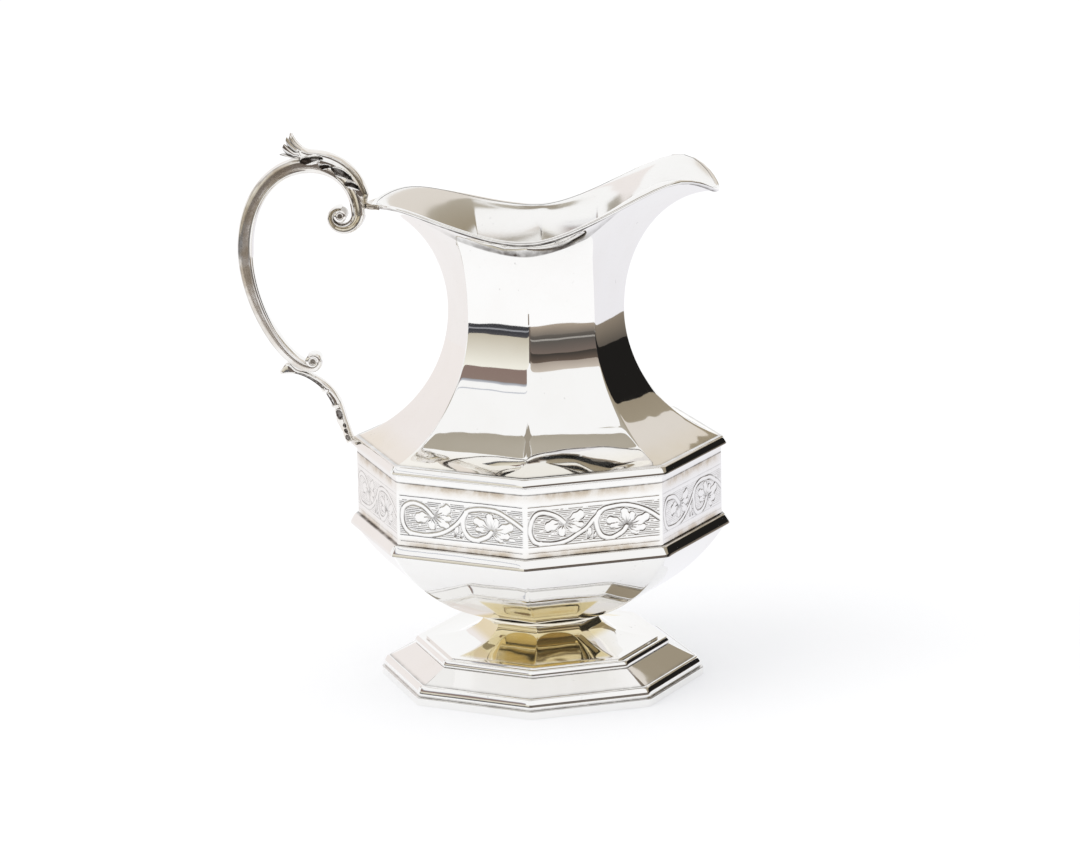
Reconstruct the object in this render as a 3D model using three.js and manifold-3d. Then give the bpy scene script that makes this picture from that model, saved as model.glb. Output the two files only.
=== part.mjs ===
// Eight-sided silver cream jug: a panelled neck with a wavy mouth and a broad lip, an engraved belt between
// two mouldings, a panelled bowl on a stepped foot, and a scroll handle with a leaf cap and a leafy bracket.
// Millimetres, +Z up, lip towards +X, handle towards -X. The foot stands on Z = 0, and the middle of the
// jug's length and width lies over the origin. Radii of the eight-sided pieces are taken to their corners.

import * as THREE from 'three';
import { mergeVertices } from 'three/addons/utils/BufferGeometryUtils.js';
import Module from 'manifold-3d';

const wasm = await Module();
wasm.setup();

const { degToRad, lerp } = THREE.MathUtils;

// Stock and joints
const SIDES = 8;
const SHEET = 0.8; // raised sheet of the neck, bowl, stem and skirt
const SEAM = 0.1; // solder seam between pieces that meet on a slanted or round face
const SEAT_GAP = 0.3; // gap where a casting is fitted round a moulding
const LEDGE = 1.6; // width of the flat ledge under the stem and inside the skirt

// Foot, from the table upwards
const FOOT_RADIUS = 37.7;
const FOOT_RIM_HEIGHT = 1.9;
const FOOT_RIM_WIDTH = 4.4;
const BASE_SETBACK = 0.5; // base moulding behind the foot's rim
const BASE_HEIGHT = 2.5;
const BASE_EDGE = 0.4; // upright edge below the roll
const BASE_ROLL_WIDTH = 2.15;
const BASE_FILLET = 0.65; // slanted fillet between the roll and the skirt
const SKIRT_SPREAD = 4.1;
const SKIRT_HEIGHT = 3.0;
const SKIRT_HOLLOW = 0.7; // depth of the skirt's hollow
const STEP_SETBACK = 0.5; // step moulding behind the skirt's top
const STEP_HEIGHT = 1.7;
const STEP_EDGE = 0.5;
const STEP_ROLL_WIDTH = 2.6;
const STEM_WAIST_RADIUS = 13.2;
const STEM_HEIGHT = 6.4;
const STEM_TURN_OUT = 1.2; // control point of the stem's hollow, from its waist and from its shelf
const STEM_TURN_UP = 0.4;
const BEAD_PROUD = 1.4; // bead and collar beyond the stem's waist
const BEAD_HEIGHT = 0.7;
const COLLAR_PROUD = 1.7;
const COLLAR_HEIGHT = 0.8;
const COLLAR_WALL = 3.0;

// Bowl
const BOWL_FLOOR_PROUD = 0.3; // flat floor beyond the collar
const BOWL_HEIGHT = 20.1;
const BOWL_BELLY_INSET = 8.7; // control point of the bowl's curve, from its top and from its floor
const BOWL_BELLY_RISE = 5.7;

// Belt
const BELT_RADIUS = 42.2;
const BELT_HEIGHT = 14.5;
const BELT_WALL = 1.2;
const BOWL_PROUD = 1.0; // bowl and mouldings beyond the belt
const LOWER_PROUD = 2.0;
const LOWER_HEIGHT = 2.4;
const UPPER_PROUD = 1.4;
const UPPER_HEIGHT = 3.9;
const UPPER_COVE = 2.0; // hollow under the upper moulding's edge
const MOULDING_EDGE = 0.6;
const MOULDING_WALL = 3.2;

// Neck
const NECK_INSET = 0.5; // foot of the neck behind the belt
const NECK_SEAT_WIDTH = 2.2; // flat ring where the sloping sheet is cut off on the upper moulding
const WAIST_RADIUS = 20.3;
const WAIST_RISE = 30.1;
const NECK_SWEEP = degToRad(70); // share of a quarter ellipse below the waist
const LIP_SWEEP = degToRad(90); // the same above it, at the lip and at the handle
const BACK_SWEEP = degToRad(75);

// Mouth: reaches from the jug's axis, half widths, and rises above the waist
const LIP_REACH = 41.2;
const LIP_RISE = 26.9;
const SHOULDER_REACH = 32.5; // the lip's two high shoulders
const SHOULDER_HALF_WIDTH = 17.4;
const SHOULDER_RISE = 31.4;
const SIDE_REACH = 1.0; // the low sides
const SIDE_HALF_WIDTH = 23.8;
const SIDE_RISE = 18.8;
const HIND_REACH = 29.5; // the hind quarters
const HIND_HALF_WIDTH = 13.6;
const HIND_RISE = 24.8;
const BACK_REACH = 36.2;
const BACK_RISE = 23.6;
const LIP_CREASE = degToRad(62); // where the creases next to the lip and to the handle meet the mouth
const BACK_CREASE = degToRad(130);
const RIM_WIRE_WIDTH = 1.2;
const RIM_WIRE_HEIGHT = 1.0;

// Scroll bar of the handle: its lower curl is placed from the belt's corner, the rest from the mouth's back
const LOWER_EYE_OUT = 7.9;
const LOWER_EYE_UP = 17.8;
const LOWER_CURL = 1.6; // radius of the bar's middle line where it enters and where it ends
const LOWER_CURL_END = 1.25;
const LOWER_CURL_TURN = degToRad(210);
const LOWER_PULL = 6.8; // how far the bow leaves the curl in a straight way
const UPPER_EYE_OUT = 8.1;
const UPPER_EYE_DOWN = 2.0;
const UPPER_CURL = 4.2;
const UPPER_CURL_END = 1.5;
const UPPER_CURL_TURN = degToRad(280);
const UPPER_PULL = 6.9;
const BOW_OUT = 30.2; // the bow at its widest
const BOW_DOWN = 10.6;
const BOW_PULL = 12;
const CROWN_OUT = 14.8; // the handle's highest place
const CROWN_UP = 9.7;
const CROWN_PULL_OUT = 9;
const CROWN_PULL_IN = 6.5;
const LOWER_DEPTH_END = 0.6; // half depths of the bar
const LOWER_DEPTH = 1.15;
const BOW_DEPTH = 1.95;
const CROWN_DEPTH = 2.05;
const UPPER_DEPTH = 1.75;
const UPPER_DEPTH_END = 0.6;
const BAR_HALF_WIDTH = 2.6;
const BAR_SQUARENESS = 2.6; // exponent of the bar's section, 2 for an ellipse
const BUTTON_RADIUS = 1.2;

// Leaf cap on the handle's crown
const LEAF_START = 0.3; // share of the way from the volute back to the crown
const LEAF_THICKNESS = 1.2;
const LEAF_EDGE = 0.4;
const LEAF_TIP_OUT = 6.0; // middle of the curled tip, from the crown
const LEAF_TIP_UP = 1.7;
const LEAF_TIP_RISE = 5.3;
const LEAF_TIP_HALF_WIDTH = 4.2;
const LEAF_TIP_LEAN = degToRad(20);

// Solder plate between the handle and the rim wire
const PLATE_HALF_ANGLE = degToRad(14);
const PLATE_THICKNESS = 0.6;
const PLATE_EDGE = 0.25;
const PLATE_HEIGHT = 1.2;
const PLATE_DROP = 0.4;

// Leafy bracket between the belt and the lower curl, placed from the belt's corner
const BRACKET_TIP_OUT = 15.7;
const BRACKET_TIP_UP = 14.7;
const BRACKET_TIP_PULL = new THREE.Vector2(5.3, 1.6);
const BRACKET_KNEE_OUT = 2.7;
const BRACKET_KNEE_UP = 7.6;
const BRACKET_KNEE_PULL = new THREE.Vector2(-2.3, 5);
const BRACKET_KNEE_PULL_DOWN = new THREE.Vector2(0.6, -1.3);
const BRACKET_FOOT_OUT = 0.7;
const BRACKET_FOOT_DOWN = 1.3;
const BRACKET_FOOT_PULL = new THREE.Vector2(-1.7, 3.9);
const BRACKET_TIP_DEPTH = 0.3; // half depths and half widths along the bracket
const BRACKET_KNEE_DEPTH = 1.2;
const BRACKET_FOOT_DEPTH = 1.0;
const BRACKET_TIP_HALF_WIDTH = 1.0;
const BRACKET_HALF_WIDTH = 2.4;

// Smoothness of the curved stretches
const CURVE_STEPS = 7;
const PANEL_STEPS = 8;
const NECK_LOWER_STEPS = 7;
const NECK_UPPER_STEPS = 10;
const SECTION_POINTS = 10;
const COLLAR_SEGMENTS = 40;
const HANDLE_STEP = degToRad(24); // turn of a curl from one section to the next
const HANDLE_STEPS = 12; // sections along each cubic stretch of the handle

// Radii that follow from the driving ones
const footInner = FOOT_RADIUS - FOOT_RIM_WIDTH;
const baseRadius = FOOT_RADIUS - BASE_SETBACK;
const skirtFoot = baseRadius - BASE_ROLL_WIDTH - BASE_FILLET;
const skirtTop = skirtFoot - SKIRT_SPREAD;
const stepRadius = skirtTop - STEP_SETBACK;
const stemFoot = stepRadius - STEP_ROLL_WIDTH;
const beadRadius = STEM_WAIST_RADIUS + BEAD_PROUD;
const collarRadius = STEM_WAIST_RADIUS + COLLAR_PROUD;
const collarInner = collarRadius - COLLAR_WALL;
const bowlFloor = collarRadius + BOWL_FLOOR_PROUD;
const bowlRadius = BELT_RADIUS + BOWL_PROUD;
const lowerRadius = BELT_RADIUS + LOWER_PROUD;
const upperRadius = BELT_RADIUS + UPPER_PROUD;
const neckFoot = BELT_RADIUS - NECK_INSET;

// Heights of the joints between the stacked pieces
const baseSeat = FOOT_RIM_HEIGHT;
const skirtSeat = baseSeat + BASE_HEIGHT;
const stepSeat = skirtSeat + SKIRT_HEIGHT;
const shelf = stepSeat + STEP_HEIGHT;
const stemSeat = shelf - SHEET;
const beadSeat = stemSeat + STEM_HEIGHT;
const collarSeat = beadSeat + BEAD_HEIGHT;
const bowlSeat = collarSeat + COLLAR_HEIGHT;
const lowerSeat = bowlSeat + BOWL_HEIGHT;
const beltSeat = lowerSeat + LOWER_HEIGHT;
const upperSeat = beltSeat + BELT_HEIGHT;
const neckSeat = upperSeat + UPPER_HEIGHT;
const waist = neckSeat + WAIST_RISE;

// A quarter of an ellipse from its upright end on the widest radius to its level end on the top
function roll(outerRadius, edgeHeight, innerRadius, topHeight) {
  return Array.from({ length: CURVE_STEPS + 1 }, (_, i) => {
    const angle = (i / CURVE_STEPS) * (Math.PI / 2);
    const radius = lerp(innerRadius, outerRadius, Math.cos(angle));
    return [radius, lerp(edgeHeight, topHeight, Math.sin(angle))];
  });
}

// A quadratic curve through radius and height pairs
function bend(start, control, end) {
  const pairs = [start, control, end].map((pair) => new THREE.Vector2(...pair));
  return new THREE.QuadraticBezierCurve(...pairs).getPoints(CURVE_STEPS).map(({ x, y }) => [x, y]);
}

// A line drawn upwards, moved inwards by a distance square to itself
function inset(line, distance) {
  return line.map(([radius, height], i) => {
    const before = line[Math.max(i - 1, 0)];
    const after = line[Math.min(i + 1, line.length - 1)];
    const along = new THREE.Vector2(after[0] - before[0], after[1] - before[1]).normalize();
    return [radius - along.y * distance, height + along.x * distance];
  });
}

// Turns an outline, drawn upwards on its outer side, into a ring or a vessel standing along Z
function turned(outline, segments = SIDES) {
  const closed = outline[0][0] === 0 ? outline : [...outline, outline[0]];
  const points = closed.map((pair) => new THREE.Vector2(...pair));
  return new THREE.LatheGeometry(points, segments).rotateX(Math.PI / 2);
}

// A ring with upright walls and level faces
function band(outer, inner, bottom, top, segments = SIDES) {
  return turned([[outer, bottom], [outer, top], [inner, top], [inner, bottom]], segments);
}

// Joins rings of points into one skin: a loop when the last ring meets the first, else with both ends capped.
// Point j of an open ring faces the point that is as far from the ring's end, and the caps are strips across.
function skin(rings, loop) {
  const count = rings[0].length;
  const corners = [];
  const quad = (a, b, c, d) => corners.push(a, b, c, a, c, d);
  const spans = loop ? rings.length : rings.length - 1;
  for (let i = 0; i < spans; i += 1) {
    const ring = rings[i];
    const next = rings[(i + 1) % rings.length];
    for (let j = 0; j < count; j += 1) {
      const k = (j + 1) % count;
      quad(ring[j], ring[k], next[k], next[j]);
    }
  }
  if (!loop) {
    const first = rings[0];
    const end = rings[rings.length - 1];
    for (let j = 0; j < count / 2 - 1; j += 1) {
      quad(first[count - 1 - j], first[count - 2 - j], first[j + 1], first[j]);
      quad(end[j], end[j + 1], end[count - 2 - j], end[count - 1 - j]);
    }
  }
  let volume = 0;
  for (let i = 0; i < corners.length; i += 3) {
    volume += corners[i].dot(new THREE.Vector3().crossVectors(corners[i + 1], corners[i + 2]));
  }
  return new THREE.BufferGeometry().setFromPoints(volume > 0 ? corners : corners.reverse());
}

// A closed mesh as a solid that can be joined and cut, and back again
function solid(geometry) {
  const bare = geometry.clone();
  bare.deleteAttribute('normal');
  bare.deleteAttribute('uv');
  const merged = mergeVertices(bare);
  return new wasm.Manifold(new wasm.Mesh({
    numProp: 3,
    vertProperties: new Float32Array(merged.attributes.position.array),
    triVerts: new Uint32Array(merged.index.array),
  }));
}

function surface(shape) {
  const { vertProperties, triVerts } = shape.getMesh();
  const geometry = new THREE.BufferGeometry();
  geometry.setAttribute('position', new THREE.BufferAttribute(vertProperties, 3));
  geometry.setIndex(new THREE.BufferAttribute(triVerts, 1));
  return geometry;
}

// The foot: a flat rim, a rolled base moulding, a hollow skirt, a rolled step and a waisted stem
function baseMoulding() {
  const rolled = roll(baseRadius, baseSeat + BASE_EDGE, skirtFoot + BASE_FILLET, skirtSeat - BASE_FILLET);
  const inner = skirtFoot - LEDGE;
  return turned([
    [baseRadius, baseSeat],
    ...rolled,
    [skirtFoot, skirtSeat],
    [inner, skirtSeat],
    [inner, baseSeat],
  ]);
}

function skirt() {
  const middle = [(skirtFoot + skirtTop) / 2 - SKIRT_HOLLOW, (skirtSeat + stepSeat) / 2 - SKIRT_HOLLOW];
  const outer = bend([skirtFoot, skirtSeat], middle, [skirtTop, stepSeat]);
  const inner = outer.map(([radius, height]) => [radius - LEDGE, height]);
  return turned([...outer, ...inner.reverse()]);
}

function stepMoulding() {
  const inner = stemFoot - LEDGE;
  return turned([
    [stepRadius, stepSeat],
    ...roll(stepRadius, stepSeat + STEP_EDGE, stemFoot, shelf),
    [stemFoot, stemSeat],
    [inner, stemSeat],
    [inner, stepSeat],
  ]);
}

function stem() {
  const foot = stemFoot - SEAM;
  const turn = [STEM_WAIST_RADIUS + STEM_TURN_OUT, shelf + STEM_TURN_UP];
  const outer = bend([foot, shelf], turn, [STEM_WAIST_RADIUS, beadSeat]);
  const inner = outer.map(([radius, height]) => [radius - SHEET, Math.max(height - SHEET, stemSeat)]);
  inner[inner.length - 1][1] = beadSeat;
  return turned([[foot, stemSeat], ...outer, ...inner.reverse()]);
}

// The bowl: a flat floor on the collar, and a wall that swells to the belt
function bowl() {
  const belly = [bowlRadius - BOWL_BELLY_INSET, bowlSeat + BOWL_BELLY_RISE];
  const outer = bend([bowlFloor, bowlSeat], belly, [bowlRadius, lowerSeat]);
  const inner = inset(outer, SHEET);
  inner[0][1] = bowlSeat + SHEET;
  inner[inner.length - 1] = [bowlRadius - SHEET, lowerSeat];
  return turned([[0, bowlSeat], ...outer, ...inner.reverse(), [0, bowlSeat + SHEET]]);
}

function lowerMoulding() {
  const inner = lowerRadius - MOULDING_WALL;
  return turned([
    [lowerRadius, lowerSeat],
    ...roll(lowerRadius, lowerSeat + MOULDING_EDGE, BELT_RADIUS, beltSeat),
    [inner, beltSeat],
    [inner, lowerSeat],
  ]);
}

// The upper moulding, or the space that it takes when it is grown outwards and upwards
function upperMoulding(grown = 0) {
  const edgeFoot = upperSeat + UPPER_COVE - grown;
  const radius = upperRadius + grown;
  const inner = upperRadius - MOULDING_WALL;
  return turned([
    ...bend([BELT_RADIUS, upperSeat], [BELT_RADIUS, edgeFoot], [radius, edgeFoot]),
    ...roll(radius, edgeFoot + MOULDING_EDGE + 2 * grown, neckFoot, neckSeat + grown),
    [inner, neckSeat + grown],
    [inner, upperSeat],
  ]);
}

// The mouth's edge: a closed wave through the lip, its shoulders, the low sides, the hind quarters and back
const mouthEdge = new THREE.CatmullRomCurve3([
  [LIP_REACH, 0, LIP_RISE],
  [SHOULDER_REACH, SHOULDER_HALF_WIDTH, SHOULDER_RISE],
  [SIDE_REACH, SIDE_HALF_WIDTH, SIDE_RISE],
  [-HIND_REACH, HIND_HALF_WIDTH, HIND_RISE],
  [-BACK_REACH, 0, BACK_RISE],
  [-HIND_REACH, -HIND_HALF_WIDTH, HIND_RISE],
  [SIDE_REACH, -SIDE_HALF_WIDTH, SIDE_RISE],
  [SHOULDER_REACH, -SHOULDER_HALF_WIDTH, SHOULDER_RISE],
].map(([x, y, rise]) => new THREE.Vector3(x, y, waist + rise)), true);

// The point of the mouth's edge that lies in a direction seen from above, found by halving
function mouthAt(direction) {
  const turn = Math.atan2(Math.sin(direction), Math.cos(direction));
  const point = new THREE.Vector3();
  let low = 0;
  let high = 0.5;
  for (let i = 0; i < 40; i += 1) {
    const middle = (low + high) / 2;
    mouthEdge.getPoint(middle, point);
    if (Math.atan2(point.y, point.x) < Math.abs(turn)) {
      low = middle;
    } else {
      high = middle;
    }
  }
  point.y *= Math.sign(turn);
  return point;
}

// Shares of the run outwards and of the rise along a stretch of a quarter ellipse
function flare(step, sweep) {
  const angle = step * sweep;
  return [(1 - Math.cos(angle)) / (1 - Math.cos(sweep)), Math.sin(angle) / Math.sin(sweep)];
}

// A column of the neck has a place on the eight-sided plan and a direction at the mouth. There it has the
// edge's place, the way up the sheet, the way across it to the inside, and the sweep of its flare.
function column(plan, direction) {
  const place = mouthAt(direction);
  const sweep = lerp(BACK_SWEEP, LIP_SWEEP, (1 + Math.cos(direction)) / 2);
  const run = Math.sin(sweep) / (1 - Math.cos(sweep));
  const rise = Math.cos(sweep) / Math.sin(sweep);
  const up = new THREE.Vector3(
    (place.x - plan.x * WAIST_RADIUS) * run,
    (place.y - plan.y * WAIST_RADIUS) * run,
    (place.z - waist) * rise,
  ).normalize();
  const nudge = degToRad(1);
  const along = mouthAt(direction + nudge).sub(mouthAt(direction - nudge));
  return { plan, place, sweep, up, across: new THREE.Vector3().crossVectors(up, along).normalize() };
}

const creases = [0, LIP_CREASE, Math.PI / 2, BACK_CREASE, Math.PI];
const allCreases = [...creases.slice(1).reverse().map((crease) => -crease), ...creases];
const columns = [];
for (let side = 0; side < SIDES; side += 1) {
  const corner = (turn) => new THREE.Vector2(-Math.cos(turn), -Math.sin(turn));
  const start = corner((side * 2 * Math.PI) / SIDES);
  const end = corner(((side + 1) * 2 * Math.PI) / SIDES);
  for (let i = 0; i < PANEL_STEPS; i += 1) {
    const share = i / PANEL_STEPS;
    columns.push(column(start.clone().lerp(end, share), lerp(allCreases[side], allCreases[side + 1], share)));
  }
}

// The neck sheet: eight panels below the waist that flow into the wavy mouth above it
function neck() {
  const wall = (footRadius, waistRadius, lift) => {
    const rows = [];
    for (let i = NECK_LOWER_STEPS; i > 0; i -= 1) {
      const [run, rise] = flare(i / NECK_LOWER_STEPS, NECK_SWEEP);
      const radius = lerp(waistRadius, footRadius, run);
      const height = lerp(waist, neckSeat, rise);
      rows.push(columns.map(({ plan }) => new THREE.Vector3(plan.x * radius, plan.y * radius, height)));
    }
    for (let i = 0; i <= NECK_UPPER_STEPS; i += 1) {
      rows.push(columns.map(({ plan, place, sweep, across }) => {
        const top = place.clone().addScaledVector(across, lift);
        const [run, rise] = flare(i / NECK_UPPER_STEPS, sweep);
        return new THREE.Vector3(
          lerp(plan.x * waistRadius, top.x, run),
          lerp(plan.y * waistRadius, top.y, run),
          lerp(waist, top.z, rise),
        );
      }));
    }
    return rows;
  };
  const outer = wall(neckFoot, WAIST_RADIUS, 0);
  const inner = wall(neckFoot - NECK_SEAT_WIDTH, WAIST_RADIUS - SHEET, SHEET);
  return skin([...outer, ...inner.reverse()], true);
}

// The rim wire: half round, its flat side on the sheet's edge
function rimWire() {
  const points = SECTION_POINTS / 2;
  return skin(columns.map(({ place, up, across }) => {
    const middle = place.clone().addScaledVector(across, SHEET / 2).addScaledVector(up, SEAM);
    return Array.from({ length: points + 1 }, (_, i) => {
      const angle = (i / points) * Math.PI;
      return middle.clone()
        .addScaledVector(across, (-Math.cos(angle) * RIM_WIRE_WIDTH) / 2)
        .addScaledVector(up, Math.sin(angle) * RIM_WIRE_HEIGHT);
    });
  }), true);
}

// A curl of the handle round an eye. Its radius and its depth shrink by the same share at each step.
function curl(eye, fromAngle, turn, fromRadius, toRadius, fromDepth, toDepth) {
  const steps = Math.round(Math.abs(turn) / HANDLE_STEP);
  return Array.from({ length: steps + 1 }, (_, i) => {
    const share = i / steps;
    const angle = fromAngle + turn * share;
    const radius = fromRadius * (toRadius / fromRadius) ** share;
    return {
      place: new THREE.Vector2(Math.cos(angle), Math.sin(angle)).multiplyScalar(radius).add(eye),
      depth: fromDepth * (toDepth / fromDepth) ** share,
      halfWidth: BAR_HALF_WIDTH,
    };
  });
}

// A cubic stretch whose half depth and half width change evenly
function reach(points, fromDepth, toDepth, fromWidth = BAR_HALF_WIDTH, toWidth = BAR_HALF_WIDTH) {
  const line = new THREE.CubicBezierCurve(...points);
  return Array.from({ length: HANDLE_STEPS + 1 }, (_, i) => {
    const share = i / HANDLE_STEPS;
    return {
      place: line.getPoint(share),
      depth: lerp(fromDepth, toDepth, share),
      halfWidth: lerp(fromWidth, toWidth, share),
    };
  });
}

// Adds to each section of a line in the handle's upright plane the way out to the left of its direction
function withSides(sections) {
  return sections.map((section, i) => {
    const before = sections[Math.max(i - 1, 0)].place;
    const after = sections[Math.min(i + 1, sections.length - 1)].place;
    const along = after.clone().sub(before).normalize();
    return { ...section, out: new THREE.Vector2(-along.y, along.x) };
  });
}

// A point of a section's rounded outline, at an angle from its way out
function outlinePoint({ place, out }, depth, halfWidth, angle) {
  const rounded = (value) => Math.sign(value) * Math.abs(value) ** (2 / BAR_SQUARENESS);
  const { x, y } = place.clone().addScaledVector(out, rounded(Math.cos(angle)) * depth);
  return new THREE.Vector3(x, rounded(Math.sin(angle)) * halfWidth, y);
}

function bar(sections) {
  return skin(withSides(sections).map((section) => Array.from({ length: SECTION_POINTS }, (_, j) => {
    const angle = ((j + 0.5) / SECTION_POINTS) * 2 * Math.PI;
    return outlinePoint(section, section.depth, section.halfWidth, angle);
  })), false);
}

// Places of the handle in its upright plane, across the jug and up
const at = (place, across, up) => new THREE.Vector2(place.x + across, place.y + up);
const beltCorner = new THREE.Vector2(-upperRadius, neckSeat);
const mouthBack = new THREE.Vector2(-BACK_REACH, waist + BACK_RISE);
const lowerEye = at(beltCorner, -LOWER_EYE_OUT, LOWER_EYE_UP);
const upperEye = at(mouthBack, -UPPER_EYE_OUT, -UPPER_EYE_DOWN);
const curlTop = at(lowerEye, 0, -LOWER_CURL);
const widest = at(mouthBack, -BOW_OUT, -BOW_DOWN);
const crown = at(mouthBack, -CROWN_OUT, CROWN_UP);
const volute = at(upperEye, UPPER_CURL, 0);
const voluteToCrown = [volute, at(volute, 0, UPPER_PULL), at(crown, CROWN_PULL_IN, 0), crown];

// The scroll bar, from its upper volute over the crown and round the bow into its lower curl
function scroll() {
  const crownToBow = [crown, at(crown, -CROWN_PULL_OUT, 0), at(widest, 0, BOW_PULL), widest];
  const bowToCurl = [widest, at(widest, 0, -BOW_PULL), at(curlTop, -LOWER_PULL, 0), curlTop];
  const upper = curl(upperEye, 0, -UPPER_CURL_TURN, UPPER_CURL, UPPER_CURL_END, UPPER_DEPTH, UPPER_DEPTH_END);
  const lower = curl(
    lowerEye, -Math.PI / 2, LOWER_CURL_TURN, LOWER_CURL, LOWER_CURL_END, LOWER_DEPTH, LOWER_DEPTH_END,
  );
  const sections = [
    ...upper.reverse(),
    ...reach(voluteToCrown, UPPER_DEPTH, CROWN_DEPTH).slice(1),
    ...reach(crownToBow, CROWN_DEPTH, BOW_DEPTH).slice(1),
    ...reach(bowToCurl, BOW_DEPTH, LOWER_DEPTH).slice(1),
    ...lower.slice(1),
  ];
  const button = (eye) => {
    const width = 2 * BAR_HALF_WIDTH;
    const shape = new THREE.CylinderGeometry(BUTTON_RADIUS, BUTTON_RADIUS, width, SECTION_POINTS);
    return solid(shape.translate(eye.x, 0, eye.y));
  };
  return surface(solid(bar(sections)).add(button(lowerEye)).add(button(upperEye)));
}

// The leaf cap: a saddle over the crown that lifts off the bar and opens into its curled tip
function leaf() {
  const seated = withSides(reach(voluteToCrown, UPPER_DEPTH, CROWN_DEPTH));
  const hugging = seated.slice(Math.round(LEAF_START * HANDLE_STEPS)).map((section) => ({
    ...section,
    out: section.out.clone().negate(),
    depth: section.depth + SEAM,
    halfWidth: section.halfWidth + SEAM,
    thickness: LEAF_THICKNESS,
  }));
  const root = hugging[hugging.length - 1];
  const tipPlace = at(crown, -LEAF_TIP_OUT, LEAF_TIP_UP);
  const tipOut = new THREE.Vector2(Math.sin(LEAF_TIP_LEAN), Math.cos(LEAF_TIP_LEAN));
  const lifting = [0.25, 0.5, 0.75, 1].map((share) => ({
    place: root.place.clone().lerp(tipPlace, share),
    out: root.out.clone().lerp(tipOut, share).normalize(),
    depth: lerp(root.depth, LEAF_TIP_RISE, share ** 2),
    halfWidth: lerp(root.halfWidth, LEAF_TIP_HALF_WIDTH, share),
    thickness: lerp(LEAF_THICKNESS, LEAF_EDGE, share),
  }));
  return skin([...hugging, ...lifting].map((section) => {
    const inner = [];
    const outer = [];
    for (let j = 0; j <= SECTION_POINTS; j += 1) {
      const angle = (j / SECTION_POINTS - 0.5) * Math.PI;
      const grown = lerp(LEAF_EDGE, section.thickness, Math.cos(angle));
      inner.push(outlinePoint(section, section.depth, section.halfWidth, angle));
      outer.push(outlinePoint(section, section.depth + grown, section.halfWidth + grown, angle));
    }
    return [...outer, ...inner.reverse()];
  }), false);
}

// The solder plate: a crescent round the back of the rim wire, thickest where the handle meets it
function plate() {
  const steps = PANEL_STEPS;
  return skin(Array.from({ length: steps + 1 }, (_, i) => {
    const share = (2 * i) / steps - 1;
    const foot = mouthAt(Math.PI + share * PLATE_HALF_ANGLE);
    const away = new THREE.Vector3(foot.x, foot.y, 0).normalize();
    const near = RIM_WIRE_HEIGHT + 2 * SEAM;
    const far = near + lerp(PLATE_THICKNESS, PLATE_EDGE, share ** 2);
    const corner = (out, up) => foot.clone().addScaledVector(away, out).setZ(foot.z - PLATE_DROP + up);
    return [corner(near, 0), corner(far, 0), corner(far, PLATE_HEIGHT), corner(near, PLATE_HEIGHT)];
  }), false);
}

// The bracket: a leafy scroll from its free tip under the lower curl down to the belt's upper moulding
function bracket() {
  const tip = at(beltCorner, -BRACKET_TIP_OUT, BRACKET_TIP_UP);
  const knee = at(beltCorner, -BRACKET_KNEE_OUT, BRACKET_KNEE_UP);
  const foot = at(beltCorner, -BRACKET_FOOT_OUT, -BRACKET_FOOT_DOWN);
  const upper = [tip, tip.clone().add(BRACKET_TIP_PULL), knee.clone().add(BRACKET_KNEE_PULL), knee];
  const lower = [knee, knee.clone().add(BRACKET_KNEE_PULL_DOWN), foot.clone().add(BRACKET_FOOT_PULL), foot];
  const sections = [
    ...reach(upper, BRACKET_TIP_DEPTH, BRACKET_KNEE_DEPTH, BRACKET_TIP_HALF_WIDTH, BRACKET_HALF_WIDTH),
    ...reach(lower, BRACKET_KNEE_DEPTH, BRACKET_FOOT_DEPTH, BRACKET_HALF_WIDTH, BRACKET_HALF_WIDTH).slice(1),
  ];
  return surface(solid(bar(sections)).subtract(solid(upperMoulding(SEAT_GAP))));
}

// Silver: bright on the sheet, a little duller on the engraved belt and the castings
const BRIGHT = { color: 0xeae8e3, roughness: 0.06 };
const WORKED = { color: 0xe2dfd7, roughness: 0.16 };
const CAST = { color: 0xdad5cc, roughness: 0.13 };

const jug = new THREE.Group();

function add(name, geometry, finish) {
  const mesh = new THREE.Mesh(geometry, new THREE.MeshStandardMaterial({ metalness: 1, ...finish }));
  mesh.name = name;
  jug.add(mesh);
}

add('foot_rim', band(FOOT_RADIUS, footInner, 0, baseSeat), BRIGHT);
add('foot_base_moulding', baseMoulding(), BRIGHT);
add('foot_skirt', skirt(), BRIGHT);
add('foot_step_moulding', stepMoulding(), BRIGHT);
add('foot_stem', stem(), BRIGHT);
add('stem_bead', band(beadRadius, collarInner, beadSeat, collarSeat), BRIGHT);
add('stem_collar', band(collarRadius, collarInner, collarSeat, bowlSeat, COLLAR_SEGMENTS), BRIGHT);
add('bowl', bowl(), BRIGHT);
add('belt_lower_moulding', lowerMoulding(), BRIGHT);
add('engraved_belt', band(BELT_RADIUS, BELT_RADIUS - BELT_WALL, beltSeat, upperSeat), WORKED);
add('belt_upper_moulding', upperMoulding(), BRIGHT);
add('neck', neck(), BRIGHT);
add('rim_wire', rimWire(), BRIGHT);
add('handle_scroll', scroll(), CAST);
add('handle_leaf', leaf(), CAST);
add('handle_rim_plate', plate(), CAST);
add('handle_bracket', bracket(), CAST);

// The middle of the jug's length, from the bow of the handle to the belt's corner, is brought over the origin
const reachBox = new THREE.Box3().setFromObject(jug);
jug.position.x = -(reachBox.min.x + reachBox.max.x) / 2;

export default jug;
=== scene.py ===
import math

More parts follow.
